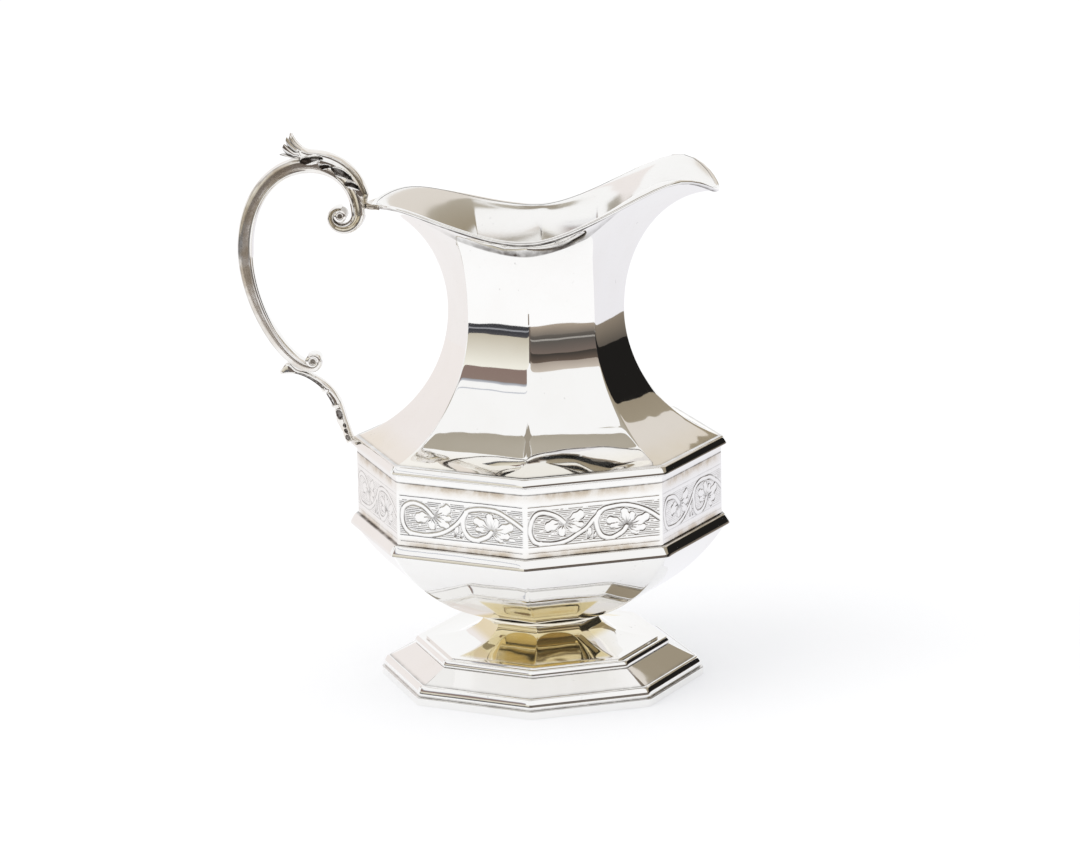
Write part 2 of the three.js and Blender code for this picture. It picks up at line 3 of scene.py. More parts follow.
import bpy
import numpy as np
from mathutils import Matrix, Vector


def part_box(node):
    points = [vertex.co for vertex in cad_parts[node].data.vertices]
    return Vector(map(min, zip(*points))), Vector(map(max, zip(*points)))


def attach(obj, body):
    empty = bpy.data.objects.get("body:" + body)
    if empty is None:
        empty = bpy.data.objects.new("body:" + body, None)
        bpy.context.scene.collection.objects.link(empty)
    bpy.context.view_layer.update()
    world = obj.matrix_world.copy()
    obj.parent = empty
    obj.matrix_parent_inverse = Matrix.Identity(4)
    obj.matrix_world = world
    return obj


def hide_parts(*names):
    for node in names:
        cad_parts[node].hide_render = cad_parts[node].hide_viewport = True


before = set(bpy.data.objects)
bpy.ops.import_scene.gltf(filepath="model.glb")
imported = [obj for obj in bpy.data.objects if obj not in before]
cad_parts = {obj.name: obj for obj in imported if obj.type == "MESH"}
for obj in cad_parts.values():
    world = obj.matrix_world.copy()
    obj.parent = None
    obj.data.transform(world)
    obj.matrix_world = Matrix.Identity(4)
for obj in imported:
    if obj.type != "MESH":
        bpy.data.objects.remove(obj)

bl_info = {
    "name": "Eight-sided cream jug",
    "version": (1, 0, 0),
    "blender": (4, 5, 0),
    "location": "View3D > Sidebar > Cream jug",
    "description": "Builds the shown surfaces of a silver cream jug over its CAD frame",
    "category": "Add Mesh",
}

# Lengths are worked in millimetres from the jug's axis, and meshes are stored in metres.
MM = 0.001
SIDES = 8
SIDE_ANGLE = 2 * np.pi / SIDES
BODY = "root"
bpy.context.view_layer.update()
BOX = {name: np.array(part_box(name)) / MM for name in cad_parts}
AXIS_X = BOX["foot_rim"][:, 0].mean()


def low(node):
    """Lowest height of a CAD node."""
    return float(BOX[node][0, 2])


def high(node):
    """Highest height of a CAD node."""
    return float(BOX[node][1, 2])


def reach(node):
    """Distance from the axis to the corners of an eight-sided CAD node."""
    return float(BOX[node][1, 1])


class JugSizes(bpy.types.PropertyGroup):
    """Sizes of the worked surfaces."""

    edge: bpy.props.FloatProperty(
        name="Edge softness",
        description="Radius worn onto the edges of rims and mouldings",
        default=0.18 * MM,
        unit="LENGTH",
        precision=5,
    )
    sheet: bpy.props.FloatProperty(
        name="Sheet",
        description="Thickness of the raised silver sheet",
        default=0.8 * MM,
        unit="LENGTH",
        precision=5,
    )
    cut_depth: bpy.props.FloatProperty(
        name="Cut depth",
        description="Depth of the engraved lines on the belt",
        default=0.09 * MM,
        unit="LENGTH",
        precision=5,
    )
    cut_width: bpy.props.FloatProperty(
        name="Cut width",
        description="Width of the engraved lines on the belt",
        default=0.3 * MM,
        unit="LENGTH",
        precision=5,
    )
    hatch: bpy.props.FloatProperty(
        name="Hatching",
        description="Distance between the engraved background lines",
        default=0.42 * MM,
        unit="LENGTH",
        precision=5,
    )
    relief: bpy.props.FloatProperty(
        name="Leaf relief",
        description="Height of the ridges on the cast leaves",
        default=0.55 * MM,
        unit="LENGTH",
        precision=5,
    )


class JugLooks(bpy.types.PropertyGroup):
    """Colours and finish of the silver."""

    silver: bpy.props.FloatVectorProperty(
        name="Silver",
        description="Colour of clean polished silver",
        default=(0.925, 0.92, 0.91),
        subtype="COLOR",
        min=0,
        max=1,
    )
    worn: bpy.props.FloatVectorProperty(
        name="Worn silver",
        description="Colour of silver with a light film of tarnish",
        default=(0.66, 0.575, 0.47),
        subtype="COLOR",
        min=0,
        max=1,
    )
    gilt: bpy.props.FloatVectorProperty(
        name="Golden film",
        description="Colour of the golden film round the stem and under the bowl",
        default=(0.80, 0.69, 0.41),
        subtype="COLOR",
        min=0,
        max=1,
    )
    # This colour also serves the painted shade along joins and the painted dark reflection under the mouth
    dark: bpy.props.FloatVectorProperty(
        name="Tarnish",
        description="Colour of the tarnish in cut lines and hollows",
        default=(0.075, 0.06, 0.052),
        subtype="COLOR",
        min=0,
        max=1,
    )
    polish: bpy.props.FloatProperty(
        name="Polish",
        description="Roughness of the polished sheet",
        default=0.035,
        min=0,
        max=1,
    )


class JugStage(bpy.types.PropertyGroup):
    """Floor, lamp and surroundings."""

    floor: bpy.props.FloatVectorProperty(
        name="Floor",
        description="Colour of the floor",
        default=(0.5, 0.49, 0.47),
        subtype="COLOR",
        min=0,
        max=1,
    )
    glow: bpy.props.FloatVectorProperty(
        name="Floor glow",
        description="Light that the translucent floor gives off, which softens shadows",
        default=(0.43, 0.443, 0.475),
        subtype="COLOR",
        min=0,
        max=1,
    )
    lamp: bpy.props.FloatProperty(
        name="Lamp",
        description="Strength of the broad soft lamp from the upper left",
        default=0.9,
        min=0,
    )
    sky: bpy.props.FloatProperty(
        name="Sky",
        description="Strength of the white surroundings on the floor",
        default=1.06,
        min=0,
    )


# Shader values

class Wire:
    """A shader value. Arithmetic on it adds Math nodes to its node tree."""

    def __init__(self, tree, socket):
        self.tree = tree
        self.socket = socket

    def plug(self, target, value):
        """Links a shader value into a socket, or sets the socket to a plain value."""
        if isinstance(value, Wire):
            self.tree.links.new(value.socket, target)
        else:
            target.default_value = value

    def node(self, kind, inputs=None, output=0, **settings):
        """Adds any other node, with its settings and its socket values or links."""
        made = self.tree.nodes.new(kind)
        for key, value in settings.items():
            setattr(made, key, value)
        for key, value in (inputs or {}).items():
            self.plug(made.inputs[key], value)
        return Wire(self.tree, made.outputs[output])

    def math(self, operation, first, second):
        """A Math node on two values."""
        return self.node("ShaderNodeMath", {0: first, 1: second}, operation=operation)

    def __add__(self, other):
        return self.math("ADD", self, other)

    def __radd__(self, other):
        return self.math("ADD", other, self)

    def __rsub__(self, other):
        return self.math("SUBTRACT", other, self)

    def __mul__(self, other):
        return self.math("MULTIPLY", self, other)

    def __rmul__(self, other):
        return self.math("MULTIPLY", other, self)

    def held(self):
        """The value held between nought and one."""
        return self.node("ShaderNodeClamp", {"Value": self})

    def ramp(self, start, end):
        """A smooth step from nought at one value to one at another."""
        inputs = {"Value": self, "From Min": start, "From Max": end}
        return self.node("ShaderNodeMapRange", inputs, interpolation_type="SMOOTHSTEP")

    def blend(self, first, second):
        """A colour between two, by this value."""
        inputs = {0: self, 6: first, 7: second}
        return self.node("ShaderNodeMix", inputs, output=2, data_type="RGBA")

    def noise(self, scale, detail=2.0, rough=0.5):
        """Noise in the object's own space, with features of one part in scale of a metre."""
        inputs = {"Vector": self, "Scale": scale, "Detail": detail, "Roughness": rough}
        return self.node("ShaderNodeTexNoise", inputs)


def colour(rgb):
    """A colour with full opacity."""
    return (*rgb, 1.0)


def new_material(name):
    """A new material with nodes, and its shader."""
    material = bpy.data.materials.new(name)
    material.use_nodes = True
    return material, material.node_tree.nodes["Principled BSDF"]


# Finishes by slot: share of the film, roughness over the polish, depth of the slow waves in millimetres
FINISHES = {
    "polished_silver": (0.06, 0.0, 0.55),
    "engraved_silver": (0.06, 0.03, 0.12),
    "cast_silver": (0.1, 0.03, 0.25),
}
# Values that a piece may store with its points; the dark one holds oxide and painted shade together
MARKS = ("tarnish", "warmth", "gilding", "haze")


def silver(slot):
    """Silver: clean metal under a patchy film, golden, hazy or dark where the piece marks it so.

    Warmth thickens the film, gilding tints the metal and haze roughens it. The dark mark covers it with oxide
    in hollows and cut lines, and with painted shade along joins and a painted dark reflection under the
    mouth. Fine dark pits lie in the film's patches, and a bump of slow and quick noise bends the sheet.
    """
    found = bpy.data.materials.get(f"{slot}_finish")
    if found:
        return found
    looks = bpy.context.scene.jug_looks
    film, rough, wave = FINISHES[slot]
    material, shader = new_material(f"{slot}_finish")
    start = Wire(material.node_tree, None)
    place = start.node("ShaderNodeTexCoord", output="Object")
    tarnish, warmth, gilding, haze = (
        start.node("ShaderNodeAttribute", attribute_name=mark, output="Fac") for mark in MARKS
    )
    cloud = place.noise(55.0, 4.0, 0.6).ramp(0.42, 0.72)
    speck = place.noise(900.0, 3.0, 0.7).ramp(0.58, 0.78)
    smoke = place.noise(300.0, 3.0, 0.6).ramp(0.3, 0.7)
    filmed = (cloud * film + speck * (film * 0.35) + warmth * (0.5 + smoke)).held()
    clean = filmed.blend(colour(looks.silver), colour(looks.worn))
    golden = (gilding * (0.8 + 0.4 * cloud)).held().blend(clean, colour(looks.gilt))
    pits = place.noise(700.0).ramp(0.7, 0.78) * cloud
    # One dark colour for oxide in hollows and cut lines, and for painted shade along joins and under the
    # mouth
    patina_and_shade = (tarnish * (0.6 + 0.8 * smoke) + pits * 0.3).held()
    start.plug(shader.inputs["Base Color"], patina_and_shade.blend(golden, colour(looks.dark)))
    dulled = filmed * 0.05 + speck * 0.02 + patina_and_shade * 0.2 + haze * 0.12
    start.plug(shader.inputs["Roughness"], looks.polish + rough + dulled)
    swell = place.noise(32.0, 1.0)
    ripple = place.noise(120.0, 1.0)
    dents = {"Height": swell + ripple * 0.1, "Strength": 1.0, "Distance": wave * MM}
    start.plug(shader.inputs["Normal"], start.node("ShaderNodeBump", dents))
    start.plug(shader.inputs["Metallic"], 1.0 - (gilding * 0.05 + warmth * 0.2).held())
    return material


# Meshes

# Edges that bend by more than this many degrees stay sharp
SHARP = 40.0


def grid_faces(rows, columns, loop_rows=False, loop_columns=False):
    """Quads between neighbours of a grid numbered row by row. A looped way joins its end to its start."""
    row = np.arange(rows if loop_rows else rows - 1)[:, None]
    column = np.arange(columns if loop_columns else columns - 1)[None, :]
    here = row * columns
    below = (row + 1) % rows * columns
    beside = (column + 1) % columns
    corners = np.broadcast_arrays(here + column, here + beside, below + beside, below + column)
    return np.stack(corners, -1).reshape(-1, 4)


def fan_faces(places, pole):
    """Triangles from the places of a closed ring to one pole, as quads that repeat the pole."""
    poles = np.full_like(places, pole)
    return np.stack([places, np.roll(places, -1), poles, poles], -1)


def capped_faces(rows, count):
    """Faces of a grid of closed rows, with a pole before the first row and one behind the last.

    The two poles are numbered after the grid.
    """
    first = np.arange(count)
    start = fan_faces(first, rows * count)[:, [1, 0, 2, 3]]
    end = fan_faces(first + (rows - 1) * count, rows * count + 1)
    return np.concatenate([grid_faces(rows, count, False, True), start, end])


def make_piece(name, points, quads, nodes, slot, **marks):
    """Makes a closed smooth mesh from points in millimetres and faces with four numbers each.

    A face whose last two numbers agree is a triangle. Faces are turned outwards by the sign of the volume.
    Marks are stored as values of the points.
    """
    places = points.reshape(-1, 3)
    first, second, third, fourth = (places[quads[:, k]] for k in range(4))
    volume = np.einsum("ij,ij->", first, np.cross(second, third) + np.cross(third, fourth))
    if volume < 0:
        quads = quads[:, [1, 0, 3, 2]]
    counts = np.where(quads[:, 2] == quads[:, 3], 3, 4)
    kept = np.arange(4)[None, :] < counts[:, None]
    mesh = bpy.data.meshes.new(f"{name}_surface")
    mesh.vertices.add(len(places))
    shown = (places + [AXIS_X, 0.0, 0.0]) * MM
    mesh.vertices.foreach_set("co", shown.astype(np.float32).ravel())
    mesh.loops.add(int(counts.sum()))
    mesh.loops.foreach_set("vertex_index", quads[kept].astype(np.int32))
    mesh.polygons.add(len(quads))
    starts = np.concatenate([[0], np.cumsum(counts)[:-1]])
    mesh.polygons.foreach_set("loop_start", starts.astype(np.int32))
    mesh.polygons.foreach_set("loop_total", counts.astype(np.int32))
    mesh.polygons.foreach_set("use_smooth", np.ones(len(quads), bool))
    mesh.update(calc_edges=True)
    if mesh.validate():
        raise RuntimeError(f"{name}: the mesh has faults")
    mesh.set_sharp_from_angle(angle=math.radians(SHARP))
    for mark, values in marks.items():
        stored = mesh.attributes.new(mark, "FLOAT", "POINT")
        stored.data.foreach_set("value", np.broadcast_to(values, len(places)).astype(np.float32))
    mesh.materials.append(silver(slot))
    piece = bpy.data.objects.new(f"{name}_surface", mesh)
    bpy.context.scene.collection.objects.link(piece)
    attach(piece, BODY)
    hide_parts(*nodes)


# Plans and profiles

# Places along one side of the eight-sided plan, and how strongly they crowd towards its corners
PER_SIDE = 24
CROWDING = 0.9
# Sharpness of the plan's corners: on the body's rings, on the neck and on the belt's plates
BODY_POWER = 150.0
NECK_POWER = 170.0
PLATE_POWER = 260.0


def around(count):
    """Directions spaced evenly round a circle."""
    return np.linspace(0, 2 * np.pi, count, endpoint=False)


def turns():
    """Directions round the axis, drawn together at the eight corners by a sine of the share of each side."""
    count = np.arange(SIDES * PER_SIDE) / PER_SIDE
    share = count % 1
    return (np.floor(count) + share - CROWDING * np.sin(2 * np.pi * share) / (2 * np.pi)) * SIDE_ANGLE


def circle(turn):
    """Round plan of radius one."""
    return np.stack([np.cos(turn), np.sin(turn)], -1)


def octagon(turn, power):
    """Eight-sided plan of corner radius one.

    The reach in a direction is the power mean of the distances to the eight sides, so that a high power
    gives flat sides that meet in narrow rounded corners.
    """
    middles = (np.arange(SIDES) + 0.5) * SIDE_ANGLE
    facing = np.clip(np.cos(turn[..., None] - middles), 0, None)
    far = np.cos(np.pi / SIDES) * (facing ** power).sum(-1) ** (-1 / power)
    return circle(turn) * far[..., None]


def body_plan():
    """The plan of the foot, stem, bowl and mouldings."""
    return octagon(turns(), BODY_POWER)


def near(value, place, width):
    """One at a place, falling to nought over a width on either side as a bell."""
    return np.exp(-(((value - place) / width) ** 2))


def step(value, start, end):
    """A smooth step from nought at one value to one at another."""
    share = np.clip((value - start) / (end - start), 0, 1)
    return share * share * (3 - 2 * share)


def unit(vectors):
    """Vectors brought to a length of one."""
    return vectors / np.linalg.norm(vectors, axis=1, keepdims=True)


def left_of(line):
    """The way out to the left of a line's direction, square to it."""
    along = unit(np.gradient(line, axis=0))
    return np.stack([-along[:, 1], along[:, 0]], -1)


def travelled(line):
    """Distance along a line at each of its places."""
    return np.concatenate([[0], np.cumsum(np.linalg.norm(np.diff(line, axis=0), axis=1))])


def curve(points, steps):
    """A Bezier curve of any degree through its first and last point, with the others as controls."""
    points = np.array(points, float)
    share = np.linspace(0, 1, steps)[:, None]
    order = len(points) - 1
    weights = [math.comb(order, k) * share ** k * (1 - share) ** (order - k) for k in range(order + 1)]
    return sum(weight * point for weight, point in zip(weights, points))


def roll(outer, edge, inner, end):
    """A quarter of an ellipse from its upright start on the outer radius to its level end."""
    angle = np.linspace(0, np.pi / 2, 8)
    return np.stack([inner + (outer - inner) * np.cos(angle), edge + (end - edge) * np.sin(angle)], -1)


# A moulding's face leans back by these degrees from its foot to its head, in so many steps
LEANS = (3.0, 10.5, 15.4, 20.0, 29.5, 33.5)
FACE_STEPS = 50
# A rolled moulding: share of its height under its widest place, how far it draws in there, its face's shares
UNDER_SHARE = 0.3
UNDER_ROLL = 0.3
ROLLED_FACE = (0.72, 0.34)


def moulding(outer, foot, inner, top, face=0.84, lower=0.18):
    """A moulding's outline: a face that takes a share of the height, then a rounded top.

    The face leans back a little over its lower share, and more and more above that. Its places are running
    sums of its rises and of their shares of the lean. The top is a quadratic curve that leaves the face
    along its lean and arrives level.
    """
    knots = np.cumsum([0, 0.2 * lower, 0.8 * lower, 0.11, 0.06, 0.83 - lower])
    lean = np.radians(np.interp(np.linspace(1 / FACE_STEPS, 1, FACE_STEPS), knots, LEANS))
    rise = np.full(FACE_STEPS, face * (top - foot) / FACE_STEPS)
    line = np.stack([outer - np.cumsum(rise * np.tan(lean)), foot + np.cumsum(rise)], -1)
    bend = (line[-1, 0] - (top - line[-1, 1]) * math.tan(lean[-1]), top)
    return np.concatenate([[(outer, foot)], line, curve([line[-1], bend, (inner, top)], 12)[1:]])


def half_round(node, depth):
    """The outline of a rolled CAD node: a short quarter of an ellipse under a moulding's face and top."""
    outer, foot, top = reach(node), low(node), high(node)
    middle = foot + UNDER_SHARE * (top - foot)
    under = roll(outer, middle, outer - UNDER_ROLL, foot)
    return np.concatenate([under[::-1], moulding(outer, middle, outer - depth, top, *ROLLED_FACE)[1:]])


def band(node, inner):
    """The closed outline of a plain band that fills a CAD node from an inner radius outwards."""
    outer = reach(node)
    return [(inner, low(node)), (outer, low(node)), (outer, high(node)), (inner, high(node))]


def backed(outline, node, back):
    """An outline closed by an upright back over the height of a CAD node."""
    return np.concatenate([outline, [(back, high(node)), (back, low(node))]])


def eased(profile, radius):
    """A closed profile whose corners of more than 25 degrees are worn to a small curve.

    Each such corner becomes five points of a quadratic curve and one support point on either side.
    """
    profile = np.array(profile, float)
    before = np.roll(profile, 1, 0) - profile
    after = np.roll(profile, -1, 0) - profile
    back = np.linalg.norm(before, axis=1, keepdims=True)
    ahead = np.linalg.norm(after, axis=1, keepdims=True)
    bend = (before / back * after / ahead).sum(1)
    worn = np.minimum(radius, 0.3 * np.minimum(back, ahead))
    share = np.array([-2.0, -1.0, -0.5, 0.0, 0.5, 1.0, 2.0])[None, :, None]
    away = np.where(share < 0, before[:, None] / back[:, None], after[:, None] / ahead[:, None])
    line = np.abs(share) * away
    cut = np.where(np.abs(share) < 1, (1 - np.abs(share)) ** 2 / 4, 0)
    inward = (before / back + after / ahead)[:, None]
    softened = profile[:, None] + worn[:, None] * (line + cut * inward)
    straight = -math.cos(math.radians(25))
    kept = [soft if turn > straight else [point] for soft, turn, point in zip(softened, bend, profile)]
    return np.concatenate(kept)


def turned(profile, plan):
    """Points of a profile of radii and heights carried round a plan, a row for each place of the profile."""
    flat = profile[:, None, :1] * plan[None]
    height = np.broadcast_to(profile[:, None, 1:], flat[..., :1].shape)
    return np.concatenate([flat, height], -1)


def ring(name, profile, plan, **marks):
    """A polished ring from a closed profile carried round a plan.

    Marks are functions of the radius and the height.
    """
    quads = grid_faces(len(profile), len(plan), True, True)
    radius = np.repeat(profile[:, 0], len(plan))
    height = np.repeat(profile[:, 1], len(plan))
    values = {mark: rule(radius, height) for mark, rule in marks.items()}
    make_piece(name, turned(profile, plan), quads, [name], "polished_silver", **values)


def seam_shade(level, strength, width):
    """A ring's painted shade along a join, as a bell of the height."""
    return lambda radius, height: strength * near(height, level, width)


def evenly(value):
    """A ring's mark of one value all over."""
    return lambda radius, height: np.full_like(radius, value)


def gauges(sizes):
    """Sizes of the worn edges and of the sheet, in millimetres."""
    return sizes.edge / MM, sizes.sheet / MM


# The foot: width of its flat rim, wall behind its outlines and depth of its two rolled mouldings
RIM_WIDTH = 4.4
FOOT_WALL = 1.6
BASE_ROLL = 1.5
STEP_ROLL = 1.1
# How far the skirt sags, a hidden edge lies off the piece that covers it, and the stem's seat slopes in
SKIRT_SAG = 0.1
LAP = 0.1
SEAT_SLOPE = 0.4


class JUG_OT_foot(bpy.types.Operator):
    """Builds the foot's flat rim, rolled base moulding, sloping skirt and rolled step."""

    bl_idname = "jug.foot"
    bl_label = "Foot"

    def execute(self, context):
        edge, _ = gauges(context.scene.jug_sizes)
        plan = body_plan()
        rim, base, skirt, shelf = "foot_rim", "foot_base_moulding", "foot_skirt", "foot_step_moulding"
        # Painted shade along the rim's top, under the base moulding
        ring(rim, eased(band(rim, reach(rim) - RIM_WIDTH), edge), plan, tarnish=seam_shade(high(rim), 0.25, 0.12))
        foot = reach(base) - BASE_ROLL
        shape = backed(half_round(base, BASE_ROLL), base, foot - FOOT_WALL)
        # Painted shade along the base moulding's inner edge, where the skirt meets it
        ring(base, eased(shape, edge / 2), plan,
             tarnish=lambda radius, height: 0.5 * near(radius, foot, 0.12))
        head = reach(shelf) - LAP
        middle = ((foot + head) / 2 - SKIRT_SAG, (low(skirt) + high(skirt)) / 2 - SKIRT_SAG)
        outer = curve([(foot, low(skirt)), middle, (head, high(skirt))], 24)
        shape = np.concatenate([outer, (outer - [FOOT_WALL, 0.0])[::-1]])
        # Painted shade along the skirt's foot, at its join with the base moulding
        ring(skirt, eased(shape, edge), plan, tarnish=seam_shade(low(skirt), 0.3, 0.2))
        seat = reach("foot_stem") + LAP
        sunk = low("foot_stem")
        well = [(seat - SEAT_SLOPE, sunk), (seat - FOOT_WALL, sunk), (seat - FOOT_WALL, low(shelf))]
        shape = np.concatenate([half_round(shelf, STEP_ROLL), well])
        # Painted shadow under the step moulding, along its join with the skirt
        ring(shelf, eased(shape, edge), plan, tarnish=seam_shade(low(shelf), 0.5, 0.15))
        return {"FINISHED"}


# The stem: its ledge on the step's shelf, the pull of its flare off waist and shelf, and its bead
LEDGE_WIDTH = 2.0
LEDGE_RISE = 0.03
FLARE_PULL = (0.7, 1.2)
BEAD_PROUD = 1.4
BEAD_WIDTH = 2.7
BEAD_ROLL = 0.35
# Its golden film: share on bead and collar, radii where it sets in on the front and back sides and on the
# others, and the sines of the directions between those two kinds of side
STEM_GILDING = 0.45
GILT_FACING = (25.4, 23.2)
GILT_ASIDE = (17.5, 15.0)
FACING_SINES = (0.69, 0.725)


class JUG_OT_stem(bpy.types.Operator):
    """Builds the waisted stem with its bead and its round collar."""

    bl_idname = "jug.stem"
    bl_label = "Stem"

    def execute(self, context):
        edge, sheet = gauges(context.scene.jug_sizes)
        plan = body_plan()
        stem, bead, collar = "foot_stem", "stem_bead", "stem_collar"
        foot, top, wide = reach(stem), high(stem), reach(bead)
        shelf = high("foot_step_moulding")
        waist = wide - BEAD_PROUD
        ledge = (foot - LEDGE_WIDTH, shelf + LEDGE_RISE)
        flat = np.linspace((foot, shelf), ledge, 4)[:-1]
        rising = curve([ledge, (waist + FLARE_PULL[0], shelf + FLARE_PULL[1]), (waist, top)], 60)
        outer = np.concatenate([flat, rising])
        inner = np.stack([outer[:, 0] - sheet, np.maximum(outer[:, 1] - sheet, low(stem))], -1)
        inner[-1, 1] = top
        shape = np.concatenate([[(foot, low(stem))], outer, inner[:0:-1]])
        ring(stem, eased(shape, 0.1), plan, gilding=self.golden)
        hollow = wide - BEAD_WIDTH
        middle = (low(bead) + high(bead)) / 2
        under, over = (roll(wide, middle, wide - BEAD_ROLL, end) for end in (low(bead), high(bead)))
        shape = backed(np.concatenate([under[::-1], over[1:]]), bead, hollow)
        golden = evenly(STEM_GILDING)
        # Painted shade along the bead's top, under the collar
        ring(bead, eased(shape, 0.05), plan, tarnish=seam_shade(high(bead), 0.8, 0.12), gilding=golden)
        # Painted shade along the collar's top, under the bowl
        ring(collar, eased(band(collar, hollow), edge), circle(around(160)),
             tarnish=seam_shade(high(collar), 0.7, 0.15), gilding=golden)
        return {"FINISHED"}

    def golden(self, radius, height):
        """The stem's golden film by its radius: from low on the front and back sides, higher elsewhere."""
        facing = step(np.abs(np.sin(turns())), *FACING_SINES)
        wide = radius.reshape(-1, len(facing))
        return (step(wide, *GILT_FACING) * facing + step(wide, *GILT_ASIDE) * (1 - facing)).ravel()


# The bowl: how far its floor reaches past the collar, and the pull of its curve off rim and floor
FLOOR_PROUD = 0.3
BOWL_PULL = (8.7, 5.7)


class JUG_OT_bowl(bpy.types.Operator):
    """Builds the panelled bowl, closed by a pole in its floor on either side of the sheet."""

    bl_idname = "jug.bowl"
    bl_label = "Bowl"

    def execute(self, context):
        _, sheet = gauges(context.scene.jug_sizes)
        plan = body_plan()
        floor, rim, wide = low("bowl"), high("bowl"), reach("bowl")
        foot = reach("stem_collar") + FLOOR_PROUD
        outer = curve([(foot, floor), (wide - BOWL_PULL[0], floor + BOWL_PULL[1]), (wide, rim)], 90)
        inner = outer + sheet * left_of(outer)
        inner[0, 1] = floor + sheet
        inner[-1] = (wide - sheet, rim)
        shares = np.linspace(0.25, 1, 4)[:-1, None]
        under = np.concatenate([shares * [foot, 0] + [0, floor], outer])
        over = np.concatenate([shares * [inner[0, 0], 0] + [0, floor + sheet], inner])
        profile = np.concatenate([under, over[::-1]])
        poles = [(0, 0, floor), (0, 0, floor + sheet)]
        points = np.concatenate([turned(profile, plan).reshape(-1, 3), poles])
        height = points[:, 2]
        golden = 0.2 * step(height, floor + 7, floor + 1.5)
        # Painted shade along the bowl's rim, under the belt's lower moulding
        make_piece("bowl", points, capped_faces(len(profile), len(plan)), ["bowl"], "polished_silver",
                   tarnish=0.35 * near(height, rim, 0.12), gilding=golden)
        return {"FINISHED"}


# Engraving on the belt, in millimetres across a side from its left corner and up from the ornament's foot.
# Vines: half width, then the places of the middle line
VINES = (
    (0.56, (3.4, 0.2), (2.2, 0.95), (1.35, 2.5), (1.25, 4.2), (1.8, 6.0), (2.95, 7.0), (4.55, 7.15),
     (6.4, 6.7), (7.85, 5.8), (9.1, 4.65)),
    (0.54, (3.4, 0.2), (6.8, 0.0), (9.8, 0.5), (12.3, 1.55), (14.5, 3.05), (16.1, 4.65), (17.3, 6.0),
     (18.6, 6.9), (20.9, 7.3), (23.6, 7.35), (25.7, 7.05), (28.0, 6.0), (30.0, 4.9), (32.3, 3.3),
     (33.0, 2.8)),
    (0.6, (17.5, 6.2), (16.8, 4.65), (16.8, 3.05), (17.3, 1.7), (18.4, 0.6), (20.0, 0.2), (21.6, 0.55),
     (22.95, 1.35), (23.8, 2.4)),
)
# Lobes of the leaves: foot across and up, direction in degrees, length and half width
LOBES = (
    (9.2, 4.55, 194, 4.7, 1.25), (9.1, 4.5, 262, 3.0, 0.95), (9.2, 4.5, -27, 4.5, 0.95),
    (9.3, 4.55, -4, 4.6, 0.8), (9.2, 4.6, 27, 5.0, 1.2),
    (23.85, 2.5, 176, 4.1, 0.7), (23.85, 2.5, 153, 5.1, 1.0), (23.85, 2.6, 104, 4.1, 1.0),
    (23.9, 2.6, 62, 3.4, 0.85), (23.9, 2.5, 23, 5.8, 1.1), (23.9, 2.5, -10, 4.6, 0.95),
    (23.9, 2.5, -36, 3.5, 0.7), (14.6, 0.2, 80, 2.9, 0.6), (15.9, 0.2, 66, 1.7, 0.38),
)
# Veins of a lobe: lean as a share of its half width, and the share of its length where they end
VEINS = ((-0.5, 0.42), (0.0, 0.6), (0.5, 0.42))
# Border lines along the belt: height on the plate and strength
BORDERS = ((11.75, 0.34), (2.65, 0.4), (1.25, 0.34))
ORNAMENT_FOOT = 3.0
FIRST_SEED = 11


def vine_line(places):
    """A smooth line through places: a uniform Catmull-Rom curve with its ends carried straight on."""
    padded = np.concatenate([[2 * places[0] - places[1]], places, [2 * places[-1] - places[-2]]])
    share = np.linspace(0, 1, 9)[:-1][None, :, None]
    a, b, c, d = (padded[k:len(padded) - 3 + k][:, None] for k in range(4))
    cubic = (2 * b + (c - a) * share + (2 * a - 5 * b + 4 * c - d) * share ** 2
             + (3 * b - a - 3 * c + d) * share ** 3) / 2
    return np.concatenate([cubic.reshape(-1, 2), places[-1:]])


def line_distance(x, y, line):
    """Distance from every point to the nearest segment of a line."""
    place = np.stack([x, y], -1)[:, None]
    start, way = line[:-1], np.diff(line, axis=0)
    share = ((place - start) * way).sum(-1) / (way ** 2).sum(-1)
    gap = place - start - np.clip(share, 0, 1)[..., None] * way
    return np.sqrt((gap ** 2).sum(-1)).min(1)


def wander(x, seed):
    """A slow wandering value of one coordinate, as three sines with phases from a seed."""
    phase = np.random.default_rng(seed).uniform(0, 2 * np.pi, 3)
    return sum(np.sin(x * rate + turn) / rate ** 0.5 for rate, turn in zip((0.9, 2.3, 5.1), phase)) / 2


def cut_lobe(x, y, lobe, width, shake, cut, ground):
    """Adds a lobe to the cut, and to the distance from the ornament that tells the ground.

    Its edge lies where the distance across equals a half width that swells from the foot and closes to a
    point. Veins run from its foot. It stays behind what was cut before.
    """
    foot_x, foot_y, turn, length, half = lobe
    angle = np.radians(turn + shake.normal(0, 3))
    along = ((x - foot_x) * np.cos(angle) + (y - foot_y) * np.sin(angle)) / length
    across = (y - foot_y) * np.cos(angle) - (x - foot_x) * np.sin(angle)
    inside = np.clip(along, 0, 1)
    across = across + 0.22 * half * np.sin(3.2 * inside + shake.uniform(-0.8, 0.8))
    swell = half * 1.6 * inside ** 0.75 * (1 - inside ** 4) ** 0.6 * (1 + 0.14 * np.sin(15 * inside))
    past = np.maximum(np.abs(along - 0.5) - 0.5, 0) * length
    gap = np.abs(across) - swell + past
    free = ground > -0.05
    bold = 0.5 + 0.2 * near(inside, 0.2, 0.3) + 0.45 * near(inside, 0.9, 0.22)
    cut = np.where((gap < -0.06) & free, 0, cut)
    cut = np.maximum(cut, near(gap, 0, width / 2) * bold * step(along, 0.0, 0.06) * free)
    for lean, end in VEINS:
        thick = np.maximum(width * (0.42 - 0.25 * inside / end), 0.05)
        keep = step(along, 0.0, 0.05) * step(along, end, end - 0.25) * (gap < 0) * free
        cut = np.maximum(cut, near(across, lean * swell, thick) * keep)
    return cut, np.where(free, np.minimum(ground, gap), ground)


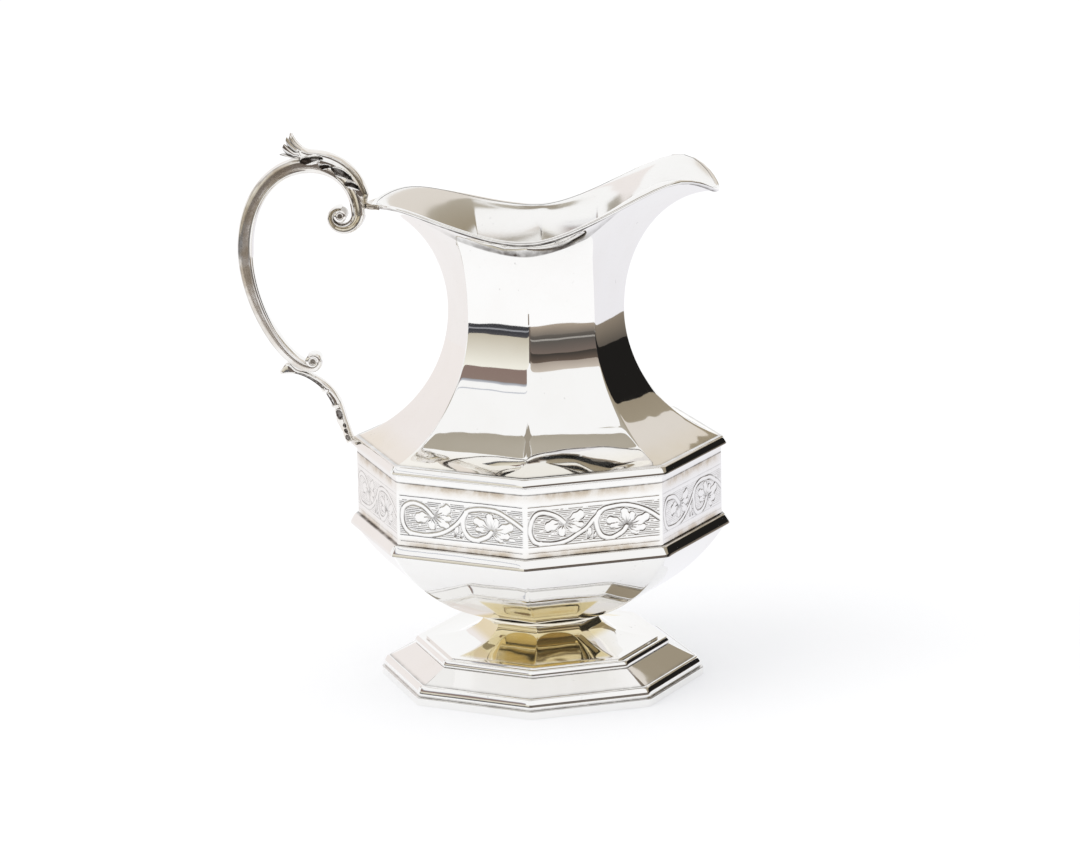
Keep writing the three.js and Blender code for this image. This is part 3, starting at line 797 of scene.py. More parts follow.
def ornament(x, y, width, hatch, seed):
    """Cut of a running vine with two leaves on a hatched ground: nought on the face, one at a line's bottom.

    A cut falls off as a bell of the distance to its line. A vine has two edge lines and hides what it
    crosses. The ground's rows of strokes stop short of vines and lobes and are broken by a slow wander.
    """
    shake = np.random.default_rng(seed)
    cut = np.zeros_like(x)
    ground = np.full_like(x, np.inf)
    for half, *places in VINES:
        moved = np.array(places) + shake.normal(0, 0.07, (len(places), 2))
        away = line_distance(x, y, vine_line(moved))
        pressed = 0.8 + 0.2 * wander(x + y, seed + len(places))
        edge = np.where(ground > 0.05, near(away, half, width / 2) * pressed, 0)
        cut = np.maximum(edge, np.where(away < half - 0.05, 0, cut))
        ground = np.minimum(ground, away - half)
    for lobe in LOBES:
        cut, ground = cut_lobe(x, y, lobe, width, shake, cut, ground)
    row = np.floor(y / hatch)
    ragged = wander(x * 1.3 + row * 12.7, seed + 7) + 0.5 * np.sin(row * 2.4)
    strokes = near((y / hatch + 0.04 * wander(x, seed)) % 1, 0.5, 0.25) * step(ragged, -1.05, -0.6)
    field = step(ground, 0.14, 0.3) * step(y, -0.2, 0.1) * (1 - step(y, 7.75, 8.0))
    return np.maximum(cut * (1 - step(y, 7.9, 8.2)) * step(y, -0.4, -0.15), 0.43 * strokes * field)


# The belt: wall behind its mouldings, rise of the upper one's cove, and its plates' thickness and grid
BELT_WALL = 3.2
COVE_RISE = 2.0
PLATE_BACK = 1.2
PLATE_COLUMNS = 324
PLATE_ROWS = 146


class JUG_OT_belt(bpy.types.Operator):
    """Builds the two mouldings and, between them, eight engraved plates that meet at the corners."""

    bl_idname = "jug.belt"
    bl_label = "Belt"

    def execute(self, context):
        sizes = context.scene.jug_sizes
        edge, _ = gauges(sizes)
        plan = body_plan()
        under, over, belt = "belt_lower_moulding", "belt_upper_moulding", "engraved_belt"
        lower, upper = reach(under), reach(over)

        # Painted shade along the lower moulding's top, where the plates meet it, and along the back of its
        # foot
        def under_joint_shade(radius, height):
            behind = radius < lower - 0.1
            return 0.8 * near(height, high(under), 0.1) + 0.5 * near(height, low(under), 0.12) * behind

        # Painted shade along the upper moulding's foot, where it meets the plates, and more faintly along its
        # top under the neck
        def over_joint_shade(radius, height):
            return 0.7 * near(height, low(over), 0.16) + 0.3 * near(height, high(over), 0.1)

        shape = backed(moulding(lower, low(under), reach(belt), high(under)), under, lower - BELT_WALL)
        ring(under, eased(shape, edge), plan, tarnish=under_joint_shade)
        brow = low(over) + COVE_RISE
        cove = curve([(reach(belt), low(over)), (reach(belt), brow), (upper, brow)], 20)
        face = moulding(upper, brow + 0.1, reach("neck"), high(over), 0.75)
        shape = backed(np.concatenate([cove, face]), over, upper - BELT_WALL)
        ring(over, eased(shape, edge), plan, tarnish=over_joint_shade)
        for side in range(SIDES):
            self.plate(side, reach(belt), low(belt), high(belt), sizes)
        return {"FINISHED"}

    def plate(self, side, radius, foot, head, sizes):
        """One side of the belt: a grid of a tenth of a millimetre, sunk by its engraving, over a flat back.

        Each row of the face runs from corner to corner on the eight-sided plan, and each column from the
        lower to the upper moulding. The cut depth moves a point inwards square to the side.
        """
        width = 2 * radius * math.sin(math.pi / SIDES)
        apothem = radius * math.cos(math.pi / SIDES)
        across = np.linspace(0, width, PLATE_COLUMNS)
        middle = (side + 0.5) * SIDE_ANGLE
        turn = middle + np.arctan((across - width / 2) / apothem)
        turn[[0, -1]] = middle + np.array([-1, 1]) * np.pi / SIDES
        face = octagon(turn, PLATE_POWER) * radius
        x, z = (values.ravel() for values in np.meshgrid(across, np.linspace(foot, head, PLATE_ROWS)))
        line = sizes.cut_width / MM
        up = z - foot
        cut = ornament(x, up - ORNAMENT_FOOT, line, sizes.hatch / MM, FIRST_SEED + side)
        for border, strength in BORDERS:
            drift = 0.03 * wander(x, side * 5 + int(border))
            cut = np.maximum(cut, strength * near(up - border - drift, 0, line / 2.2))
        from_corner = np.minimum(x, width - x)
        open_face = step(from_corner, 0.3, 0.9)
        cut = cut * open_face
        normal = np.array([np.cos(middle), np.sin(middle)])
        flat = np.tile(face, (PLATE_ROWS, 1)) - (cut * sizes.cut_depth / MM)[:, None] * normal
        front = np.concatenate([flat, z[:, None]], 1)
        inner = np.tile(face * (1 - PLATE_BACK / radius), (2, 1))
        level = np.repeat([head, foot], PLATE_COLUMNS)[:, None]
        points = np.concatenate([front, np.concatenate([inner, level], 1)])
        central = step(from_corner, 0.6, 6.0)
        # Painted shade along the plate's joins with the mouldings above and below
        edge_shade = 0.6 * near(up, 0, 0.14) + 0.6 * near(z, head, 0.14)
        brims = step(up, 1.2, 0.1) + step(z, head - 1.5, head - 0.1)
        # Dark mark: oxide in the cut lines, the painted shade along the joins, fainter near the corners, and
        # faint darker strips along the top and bottom
        darkening = np.clip(cut * 0.66 + edge_shade * (0.4 + 0.6 * open_face) + 0.16 * brims * central, 0, 1)
        warm = 0.75 * (step(up, 2.4, 0.2) + step(z, head - 2.6, head - 0.3)) * (0.3 + 0.7 * central)
        bare = np.zeros(2 * PLATE_COLUMNS)
        make_piece(f"belt_plate_{side + 1}", points, self.plate_faces(), ["engraved_belt"], "engraved_silver",
                   tarnish=np.concatenate([darkening, bare]), warmth=np.concatenate([warm, bare]))

    def plate_faces(self):
        """Faces of a plate: its rows looped over the back's two, and a fan of triangles over either end."""
        rows = PLATE_ROWS + 2
        numbers = np.arange(rows) * PLATE_COLUMNS
        caps = []
        for column in (0, PLATE_COLUMNS - 1):
            rim = numbers + column
            pole = np.full(rows - 2, rim[0])
            fan = np.stack([rim[1:-1], rim[2:], pole, pole], -1)
            caps.append(fan if column else fan[:, [1, 0, 2, 3]])
        return np.concatenate([grid_faces(rows, PLATE_COLUMNS, True, False), *caps])


# The neck: half of the mouth's edge from the lip to the back, its rises counted from the neck's waist
MOUTH_HALF = np.array([
    (41.2, 0, 26.9), (32.5, 17.4, 31.4), (1.0, 23.8, 18.8), (-29.5, 13.6, 24.8), (-36.2, 0, 23.6),
])
MOUTH = np.concatenate([MOUTH_HALF, MOUTH_HALF[-2:0:-1] * [1, -1, 1]])
MOUTH_BACK = MOUTH_HALF[-1]
# Directions in which the neck's creases reach the mouth
CREASES = np.radians([-180, -130, -90, -62, 0, 62, 90, 130, 180])
WAIST_RADIUS = 20.3
WAIST_RISE = 30.1
WAIST = low("neck") + WAIST_RISE
# Sweep of the flare in degrees: below the waist, and above it at the back and at the lip
LOWER_SWEEP = 70
BACK_SWEEP = 75
LIP_SWEEP = 90
# Thickness of the neck's wall at its foot
NECK_WALL = 2.2
# The rim wire: half width outside and inside the mouth, and lift over the sheet's edge
WIRE_OUTSIDE = 0.6
WIRE_INSIDE = 0.44
WIRE_LIFT = 0.1
WIRE_STEPS = 15


def mouth_line():
    """The mouth's edge: a closed centripetal Catmull-Rom curve through its eight places."""
    a, b, c, d = (np.roll(MOUTH, 1 - k, 0)[:, None] for k in range(4))
    first, second, third = (
        np.linalg.norm(q - p, axis=-1, keepdims=True) ** 0.5 for p, q in ((a, b), (b, c), (c, d))
    )
    leave = second * ((b - a) / first - (c - a) / (first + second) + (c - b) / second)
    arrive = second * ((c - b) / second - (d - b) / (second + third) + (d - c) / third)
    t = np.linspace(0, 1, 400, endpoint=False)[None, :, None]
    hermite = (b * (2 * t ** 3 - 3 * t ** 2 + 1) + leave * (t ** 3 - 2 * t ** 2 + t)
               + c * (3 * t ** 2 - 2 * t ** 3) + arrive * (t ** 3 - t ** 2))
    return hermite.reshape(-1, 3)


def mouth_at(direction):
    """The point of the mouth's edge in a direction seen from above, with its rise over the waist."""
    line = mouth_line()
    angle = np.arctan2(line[:, 1], line[:, 0])
    order = np.argsort(angle)
    values = [np.interp(direction, angle[order], line[order, k], period=2 * np.pi) for k in range(3)]
    return np.stack(values, -1)


def neck_columns():
    """Columns of the neck: a place on the eight-sided plan and a direction at the mouth.

    Between two creases the direction changes evenly with the share of the way along the side.
    """
    turn = turns() - np.pi
    side = np.floor((turn + np.pi) / SIDE_ANGLE + 1e-9)
    middle = (side + 0.5) * SIDE_ANGLE - np.pi
    share = 0.5 + np.tan(turn - middle) / (2 * np.tan(np.pi / SIDES))
    direction = np.interp(side + share, np.arange(SIDES + 1), CREASES)
    return octagon(turn, NECK_POWER), direction


def flare(share, sweep):
    """Shares of the run outwards and of the rise along a stretch of a quarter ellipse."""
    angle = share * sweep
    return (1 - np.cos(angle)) / (1 - np.cos(sweep)), np.sin(angle) / np.sin(sweep)


def mouth_frame(plan, direction):
    """At the mouth: the edge's place, the sweep of the flare, the way up the sheet and the way across it."""
    place = mouth_at(direction)
    sweep = np.radians(BACK_SWEEP + (LIP_SWEEP - BACK_SWEEP) * (1 + np.cos(direction)) / 2)
    run = np.sin(sweep) / (1 - np.cos(sweep))
    rise = np.cos(sweep) / np.sin(sweep)
    outwards = (place[:, :2] - plan * WAIST_RADIUS) * run[:, None]
    up = unit(np.concatenate([outwards, (place[:, 2] * rise)[:, None]], 1))
    nudge = np.radians(1)
    across = unit(np.cross(up, mouth_at(direction + nudge) - mouth_at(direction - nudge)))
    return place, sweep, up, across


def neck_wall(plan, top, sweep, foot_radius, waist_radius, below, above):
    """Rows of a wall, from its foot to its waist by one flare and from there to the mouth by another.

    Heights are counted from the waist. Below it the plan grows by the run; above it each column goes from
    its place on the waist to its place on the mouth.
    """
    run, rise = flare(np.linspace(1, 0, below + 1)[:-1], np.radians(LOWER_SWEEP))
    radius = waist_radius + (foot_radius - waist_radius) * run
    lower = turned(np.stack([radius, -WAIST_RISE * rise], -1), plan)
    run, rise = flare(np.linspace(0, 1, above)[:, None], sweep[None])
    start = plan[None] * waist_radius
    flat = start + (top[None, :, :2] - start) * run[..., None]
    upper = np.concatenate([flat, (top[None, :, 2] * rise)[..., None]], -1)
    return np.concatenate([lower, upper])


class JUG_OT_neck(bpy.types.Operator):
    """Builds the panelled neck that opens into the wavy mouth, and the half-round wire on its edge."""

    bl_idname = "jug.neck"
    bl_label = "Neck"

    def execute(self, context):
        _, sheet = gauges(context.scene.jug_sizes)
        plan, direction = neck_columns()
        place, sweep, up, across = mouth_frame(plan, direction)
        foot, wide = low("neck"), reach("neck")
        outer = neck_wall(plan, place, sweep, wide, WAIST_RADIUS, 70, 100)
        lip = place + across * sheet
        inner = neck_wall(plan, lip, sweep, wide - NECK_WALL, WAIST_RADIUS - sheet, 40, 60)
        grid = np.concatenate([outer, inner[::-1]]) + [0, 0, WAIST]
        height = grid[..., 2]
        lining = np.zeros_like(height)
        lining[len(outer):] = 1.0
        # Painted reflection: a dark band from 0.6 to 3 mm under the mouth's outer edge, darkest at its lower
        # edge and strongest on the front and back sides
        drop = (place[:, 2] + WAIST - height) * (1 - lining)
        shade = 0.8 * step(drop, 0.6, 2.5) * step(drop, 3.0, 2.75) * np.sin(direction) ** 4
        # Painted shade along the neck's foot, where it meets the upper moulding, together with the painted
        # reflection under the mouth
        darkening = np.maximum(0.3 * near(height, foot, 0.12), shade)
        golden = 0.22 * step(height, foot + 4.0, foot + 0.6)
        make_piece("neck", grid, grid_faces(len(grid), len(plan), True, True), ["neck"], "polished_silver",
                   tarnish=darkening.ravel(), haze=lining.ravel(), gilding=golden.ravel())
        angle = np.linspace(0, np.pi, WIRE_STEPS)[:, None, None]
        middle = place + across * sheet / 2 + up * WIRE_LIFT + [0, 0, WAIST]
        half = np.where(np.cos(angle) < 0, WIRE_INSIDE, WIRE_OUTSIDE)
        wire = middle - np.cos(angle) * half * across + np.sin(angle) * up
        # Painted shade along the wire's outer foot, where it meets the sheet
        darkening = np.repeat(near(angle.ravel(), 0.3, 0.5), len(plan))
        make_piece("rim_wire", wire, grid_faces(WIRE_STEPS, len(plan), True, True), ["rim_wire"],
                   "polished_silver", tarnish=darkening)
        return {"FINISHED"}


# The handle, in its upright plane: across the jug and up
CORNER = np.array([-reach("belt_upper_moulding"), high("belt_upper_moulding")])
BACK = np.array([MOUTH_BACK[0], WAIST + MOUTH_BACK[2]])
LOWER_EYE = CORNER + [-7.9, 17.8]
UPPER_EYE = BACK + [-8.1, -2.0]
# Radii of the curls at their start and end
LOWER_CURL = (1.6, 1.25)
UPPER_CURL = (4.2, 1.5)
CURL_TOP = LOWER_EYE - [0, LOWER_CURL[0]]
VOLUTE = UPPER_EYE + [UPPER_CURL[0], 0]
WIDEST = BACK + [-30.2, -10.6]
CROWN = BACK + [-14.8, 9.7]
TO_CROWN = [VOLUTE, VOLUTE + [0, 6.9], CROWN + [6.5, 0], CROWN]
TO_BOW = [CROWN, CROWN - [9, 0], WIDEST + [0, 12], WIDEST]
TO_CURL = [WIDEST, WIDEST - [0, 12], CURL_TOP - [6.8, 0], CURL_TOP]
# Half depths of the bar at the ends of its stretches, its half width, and what wear took off its depth
END_DEPTH = 0.6
VOLUTE_DEPTH = 1.75
CROWN_DEPTH = 2.05
BOW_DEPTH = 1.95
CURL_DEPTH = 1.15
BAR_HALF = 2.6
WEAR = 0.08
# Rows of the bar where its flutes run out and where the bow's sunk panel sets in and runs out
FLUTES_END = (150.0, 95.0)
PANEL_START = (140.0, 165.0)
PANEL_END = (300.0, 270.0)
# Radii of the buttons in the eyes of the curls
VOLUTE_BUTTON = 1.5
CURL_BUTTON = 1.7


def curl(eye, start, turn, radii, depths, steps):
    """A spiral round an eye whose radius and half depth shrink by the same share at each step."""
    share = np.linspace(0, 1, steps)
    radius = radii[0] * (radii[1] / radii[0]) ** share
    place = eye + radius[:, None] * circle(start + turn * share)
    return np.column_stack([place, depths[0] * (depths[1] / depths[0]) ** share])


def stretch(points, depths, steps):
    """A cubic stretch whose half depth changes evenly."""
    return np.column_stack([curve(points, steps), np.linspace(*depths, steps)])


def rounded(value, square=2.6):
    """A sine or cosine drawn out towards the corners of a rounded rectangle."""
    return np.sign(value) * np.abs(value) ** (2 / square)


def tube(name, points, nodes, **marks):
    """A closed cast skin over a grid of closed sections, with a pole at the middle of each end."""
    rows, count = points.shape[:2]
    poles = np.stack([points[0].mean(0), points[-1].mean(0)])
    places = np.concatenate([points.reshape(-1, 3), poles])
    values = {mark: np.concatenate([value.ravel(), [0, 0]]) for mark, value in marks.items()}
    make_piece(name, places, capped_faces(rows, count), nodes, "cast_silver", **values)


class JUG_OT_handle(bpy.types.Operator):
    """Builds the scroll bar with a button in the eye of each curl."""

    bl_idname = "jug.handle"
    bl_label = "Handle"

    def execute(self, context):
        self.bar()
        self.button("volute_eye", UPPER_EYE, VOLUTE_BUTTON)
        self.button("curl_eye", LOWER_EYE, CURL_BUTTON)
        return {"FINISHED"}

    def bar(self):
        """The bar: nearly square sections along its line, fluted up to the crown and sunk on the bow.

        A section's level runs from one side of the line to the other, and flutes and panel are bands of it.
        Each sinks the two flanks by a share of their distance from the middle.
        """
        path = np.concatenate([
            curl(UPPER_EYE, 0, -math.radians(280), UPPER_CURL, (VOLUTE_DEPTH, END_DEPTH), 90)[::-1],
            stretch(TO_CROWN, (VOLUTE_DEPTH, CROWN_DEPTH), 60)[1:],
            stretch(TO_BOW, (CROWN_DEPTH, BOW_DEPTH), 70)[1:],
            stretch(TO_CURL, (BOW_DEPTH, CURL_DEPTH), 70)[1:],
            curl(LOWER_EYE, -math.pi / 2, math.radians(210), LOWER_CURL, (CURL_DEPTH, END_DEPTH), 50)[1:],
        ])
        place, depth = path[:, :2], path[:, 2:] - WEAR
        angle = around(72)
        level, side = rounded(np.cos(angle), 3.4), rounded(np.sin(angle), 3.4)
        order = np.arange(len(path))[:, None]
        turn_in = step(order, *FLUTES_END)
        bow = step(order, *PANEL_START) * step(order, *PANEL_END)
        fluted = step(level, -0.4, -0.1) * step(level, 0.55, 0.25)
        panel = step(level, -0.86, -0.68) * step(level, 0.62, 0.42)
        sunk = 0.5 * turn_in * fluted + 0.2 * bow * panel
        width = side * (BAR_HALF - sunk * np.abs(side))
        flat = place[:, None] + left_of(place)[:, None] * (depth * level)[..., None]
        points = np.stack([flat[..., 0], width, flat[..., 1]], -1)
        flank = np.abs(side) ** 3
        border = near(level, -0.76, 0.05) + near(level, 0.54, 0.05)
        patch = 0.5 + 0.5 * wander(order / 22, 4)
        lines = 0.75 * near(level, -0.34, 0.09) + 0.5 * near(level, 0.5, 0.09)
        hollow = flank * (turn_in * (lines + 0.15 * fluted) + bow * (0.3 * patch * panel + 0.5 * border))
        film = flank * (0.16 + 0.75 * bow * panel * patch + 0.3 * turn_in * fluted)
        tube("handle_scroll", points, ["handle_scroll"], tarnish=hollow, warmth=film,
             gilding=0.5 * flank * turn_in * fluted)

    def button(self, name, eye, radius):
        """A button through a curl's eye: a domed ring round a dimple on either side, as a turned profile."""
        share = np.linspace(0, 1, 24)[1:]
        ridge = BAR_HALF - 0.35 + 0.3 * np.sin(np.pi * np.clip(share * 1.15 - 0.15, 0, 1))
        dome = np.stack([radius * share, ridge - 0.55 * step(share, 0.5, 0.0)], -1)
        profile = np.concatenate([dome, dome[::-1] * [1, -1]])
        grid = turned(profile, circle(around(48)))
        points = np.stack([eye[0] + grid[..., 0], grid[..., 2], eye[1] + grid[..., 1]], -1)
        out = np.broadcast_to(profile[:, :1] / radius, grid.shape[:2])
        mark = np.clip(step(out, 0.55, 0.15) + 0.7 * step(out, 0.86, 1.0), 0, 1)
        tube(name, points, ["handle_scroll"], tarnish=0.6 * mark, warmth=0.1 + 0.5 * mark)


# Lobes of the leaf cap: root, middle and tip as distance along the spine and angle from it, then half angle
LEAF_LOBES = (
    ((5.6, 56), (7.2, 73), (8.6, 97), 15),
    ((8.0, 62), (10.4, 74), (12.9, 85), 19),
    ((12.6, 76), (14.3, 82), (15.7, 92), 9),
    ((15.0, 52), (17.7, 64), (20.2, 87), 20),
)
# Half angle of the leaf cap along its spine: it swells to each lobe's tip and falls back behind it
LEAF_EDGE = np.array([
    (2.4, 34), (3.2, 46), (5.0, 74), (7.0, 93), (8.5, 98), (8.8, 78), (9.6, 90), (11.2, 93), (12.8, 88),
    (13.1, 78), (14.2, 93), (15.6, 92), (15.9, 76), (17.4, 86), (20.0, 88), (20.5, 66), (21.6, 80),
    (30.0, 90),
])
# Distances along the spine where the leaf starts and ends, and the angles of its free end and of one finger
LEAF_START = LEAF_EDGE[0, 0]
LEAF_END = 24.15
END_ANGLE = 88
FINGER_ANGLE = 23
# At the free end's tip: its place, its lean, and the depth, width and thickness over the spine
TIP_PLACE = CROWN + [-6.0, 1.7]
TIP_LEAN = math.radians(20)
TIP_SIZES = (5.3, 4.2, 0.4)
# Gap between the leaf's inner skin and the bar, and the leaf's thickness on the bar
LEAF_GAP = 0.02
LEAF_THICK = 1.28


class JUG_OT_leaf(bpy.types.Operator):
    """Builds the leaf cap over the handle's crown and the solder plate behind the rim wire."""

    bl_idname = "jug.leaf"
    bl_label = "Leaf cap"

    def execute(self, context):
        self.cap(self.spine(), context.scene.jug_sizes.relief / MM)
        self.plate()
        return {"FINISHED"}

    def spine(self):
        """Rows of the leaf's spine: place, way out, and the depth, width and thickness over it.

        It follows the bar to the crown and lifts off it from there in a straight line to the tip and past
        it. The depth grows with the square of the share of that line.
        """
        seat = stretch(TO_CROWN, (VOLUTE_DEPTH, CROWN_DEPTH), 200)
        count = len(seat)
        hugging = np.column_stack([seat[:, :2], -left_of(seat[:, :2]), seat[:, 2] + LEAF_GAP,
                                   np.full(count, BAR_HALF + LEAF_GAP), np.full(count, LEAF_THICK)])
        root = hugging[-1]
        share = np.linspace(0, 1.15, 70)[1:, None]
        tip = np.array([*TIP_PLACE, math.sin(TIP_LEAN), math.cos(TIP_LEAN), *TIP_SIZES])
        lifting = root + (tip - root) * share
        lifting[:, 4] = root[4] + (tip[4] - root[4]) * share[:, 0] ** 2
        spine = np.concatenate([hugging, lifting])
        spine[:, 2:4] = unit(spine[:, 2:4])
        return spine

    def cap(self, spine, relief):
        """The leaf: angle across the spine by distance along it, an outer skin over an inner one.

        The half angle follows the lobes and the free end is scalloped into fingers. Each lobe has a raised
        rim round a hollow, a ridge runs along the spine's edges, and grooves part the fingers.
        """
        along = np.linspace(0, 1, 300)[:, None]
        across = np.linspace(-1, 1, 161)[None, :]
        wide = np.abs(across) * END_ANGLE
        finger = np.abs(np.cos(np.pi * wide / FINGER_ANGLE))
        end = LEAF_END + 0.9 * step(wide, 14, 46) - 1.5 * (1 - finger) ** 2
        far = LEAF_START + (end - LEAF_START) * along
        half = np.interp(far, LEAF_EDGE[:, 0], LEAF_EDGE[:, 1])
        angle = np.radians(across * half)
        side = np.degrees(np.abs(angle))
        travel = travelled(spine[:, :2])
        values = [np.interp(far, travel, column) for column in spine.T]
        place_x, place_z, out_x, out_z, depth, width, thick = values
        height = np.zeros_like(far)
        dark = 0.06 * step(side, 44, 58)
        for root, middle, tip, spread in LEAF_LOBES:
            share = (far - root[0]) / (tip[0] - root[0])
            held = np.clip(share, 0, 1)
            pull = 2 * middle[1] - (root[1] + tip[1]) / 2
            bend = root[1] * (1 - held) ** 2 + 2 * pull * held * (1 - held) + tip[1] * held ** 2
            room = spread * 2.1 * held ** 0.8 * (1 - held) ** 0.5 + 0.5
            offset = np.abs((side - bend) / room)
            within = step(share, 0.0, 0.08) * step(share, 1.02, 0.96)
            rim = near(offset, 0.92, 0.22) * within
            bowl = step(offset, 0.85, 0.45) * within
            height = height * (1 - bowl) + relief * (0.8 * rim - bowl)
            dark = dark * (1 - rim) * (1 - bowl) + bowl * (0.9 + 0.5 * step(held, 0.2, 0.5))
        ridged = step(far, 4, 7) * step(far, 22, 19)
        ridge = near(side, 37, 4) * ridged
        line = near(side, 30, 2.2) * ridged
        grooves = (1 - finger) ** 2 * step(far, 19.6, 22.5)
        height = height + relief * (0.5 * ridge - 0.35 * line - 1.1 * grooves)
        body = 0.4 + (thick - 0.4) * np.cos(np.clip(angle, -np.pi / 2, np.pi / 2))
        grown = np.maximum(body * step(far, 1.6, 4.5) + height, 0.12)

        def skin(thickness):
            level = rounded(np.cos(angle)) * (depth + thickness)
            flank = rounded(np.sin(angle)) * (width + thickness)
            return np.stack([place_x + out_x * level, flank, place_z + out_z * level], -1)

        points = np.concatenate([skin(grown), skin(0)[:, ::-1]], 1)
        olive = near(side, 40, 10) * step(far, 13, 7)
        dark = np.clip(0.95 * dark + 0.45 * line + grooves * 0.95 + 0.35 * olive, 0, 1)
        film = 0.25 * step(side, 34, 22) + 0.4 * olive
        outside = {"tarnish": dark, "warmth": film, "gilding": 0.5 * olive}
        inside = {"tarnish": 0.3, "warmth": 0.5, "gilding": 0.0}
        marks = {mark: np.concatenate([value, np.full_like(value, inside[mark])], 1).ravel()
                 for mark, value in outside.items()}
        quads = self.shell_faces(*points.shape[:2])
        make_piece("handle_leaf", points, quads, ["handle_leaf"], "cast_silver", **marks)

    def shell_faces(self, rows, count):
        """Faces of a grid whose rows run out on one skin and back on the other, with strips over its ends."""
        half = np.arange(count // 2 - 1)
        strip = np.stack([half, half + 1, count - 2 - half, count - 1 - half], -1)
        skins = grid_faces(rows, count, False, True)
        return np.concatenate([skins, strip[:, ::-1], strip + (rows - 1) * count])

    def plate(self):
        """The solder plate: a crescent round the back of the mouth, thickest in its middle."""
        share = np.linspace(-1, 1, 41)[:, None]
        foot = mouth_at(np.pi + share[:, 0] * np.radians(14)) + [0, 0, WAIST]
        away = unit(foot[:, :2])
        thick = 0.3 + 1.5 * near(share, 0, 0.32)
        angle = around(32)
        level, side = rounded(np.cos(angle), 3.2), rounded(np.sin(angle), 3.2)
        out = 0.75 + thick * (0.5 + 0.5 * level)
        flat = foot[:, None, :2] + away[:, None] * out[..., None]
        tall = foot[:, 2:] + 0.15 + (0.45 + 0.35 * near(share, 0, 0.5)) * side
        points = np.concatenate([flat, tall[..., None]], -1)
        tube("handle_rim_plate", points, ["handle_rim_plate"],
             tarnish=np.full_like(tall, 0.1), warmth=np.full_like(tall, 0.4))


# Hollows of the bracket's leaf: start and end along it, middle and half height on its side
BRACKET_HOLLOWS = (
    (0.13, 0.46, -0.28, 0.42), (0.49, 0.63, -0.5, 0.2), (0.68, 0.775, -0.12, 0.62),
    (0.82, 0.86, 0.25, 0.3), (0.87, 0.91, 0.1, 0.35), (0.93, 0.985, -0.1, 0.5),
)
# Lobes under the bracket and notches between them: place along it, height as a share of its depth, and width
BRACKET_LOBES = ((0.46, 0.3, 0.03), (0.64, 0.28, 0.025), (0.79, 0.25, 0.04))
BRACKET_NOTCHES = ((0.49, 0.35, 0.012), (0.665, 0.4, 0.012), (0.9, 0.2, 0.02))
# The bracket's line from the lower curl over its knee to the belt, with depth and width at each of the three
BRACKET_TIP = CORNER + [-15.7, 14.7]
BRACKET_KNEE = CORNER + [-2.7, 7.6]
BRACKET_FOOT = CORNER + [0.2, -1.2]
TO_KNEE = [BRACKET_TIP, BRACKET_TIP + [5.3, 1.6], BRACKET_KNEE + [-2.3, 5], BRACKET_KNEE]
TO_BELT = [BRACKET_KNEE, BRACKET_KNEE + [0.6, -1.3], BRACKET_FOOT + [-1.7, 3.9], BRACKET_FOOT]
BRACKET_DEPTHS = (0.3, 1.2, 1.0)
BRACKET_WIDTHS = (1.0, 2.4, 2.0)


class JUG_OT_bracket(bpy.types.Operator):
    """Builds the leafy bracket between the belt's corner and the lower curl."""

    bl_idname = "jug.bracket"
    bl_label = "Bracket"

    def execute(self, context):
        upper = stretch(TO_KNEE, BRACKET_DEPTHS[:2], 150)
        lower = stretch(TO_BELT, BRACKET_DEPTHS[1:], 110)
        upper_width = np.linspace(*BRACKET_WIDTHS[:2], 150)
        lower_width = np.linspace(*BRACKET_WIDTHS[1:], 110)
        width = np.concatenate([upper_width, lower_width[1:]])
        path = np.column_stack([np.concatenate([upper, lower[1:]]), width])
        travel = travelled(path[:, :2])[:, None]
        self.leaf(path, travel / travel[-1])
        return {"FINISHED"}

    def leaf(self, path, share):
        """The bracket: rounded sections along its line, lifted to an ear at the tip, with lobes below.

        Each hollow sinks the side inside an oval of the share along the line and the level on the section.
        """
        angle = around(88)[None]
        level, side = rounded(np.cos(angle)), rounded(np.sin(angle))
        sunk = np.zeros((len(path), angle.size))
        for start, end, middle, tall in BRACKET_HOLLOWS:
            oval = ((share - (start + end) / 2) / ((end - start) / 2)) ** 2 + ((level - middle) / tall) ** 2
            sunk = np.maximum(sunk, step(oval, 1.15, 0.7))
        sunk = sunk * step(np.abs(side), 0.35, 0.7)
        ear = near(share, 0.075, 0.05) * step(level, 0.1, 1.0)
        lobes, notch = (sum(tall * near(share, place, width) for place, tall, width in bumps)
                        for bumps in (BRACKET_LOBES, BRACKET_NOTCHES))
        below = step(level, 0.1, -0.8)
        deep = path[:, 2:3] * level * (1 + below * (lobes - notch)) + 1.7 * ear
        width = path[:, 3:4] * side * (1 - 0.16 * sunk) * (1 + 0.1 * lobes - 0.12 * notch)
        width = width * step(share, -0.03, 0.03)
        flat = path[:, None, :2] + left_of(path[:, :2])[:, None] * deep[..., None]
        points = np.stack([flat[..., 0], width, flat[..., 1]], -1)
        film = np.broadcast_to(0.35 * step(share, 0.75, 0.95) + 0.15, sunk.shape)
        tube("handle_bracket", points, ["handle_bracket"], tarnish=0.95 * sunk, warmth=film)


# Colours of the surroundings that several cards share
BLACK = (0.014, 0.013, 0.012)
TAN = (0.33, 0.28, 0.205)
TAN_HEAD = (0.36, 0.31, 0.23)
PALE = (0.76, 0.71, 0.65)
BEAM = (0.36, 0.32, 0.26)
BEAM_EDGE = (0.42, 0.38, 0.31)
BEAM_HEAD = (0.5, 0.46, 0.39)
POST = (0.03, 0.03, 0.03)
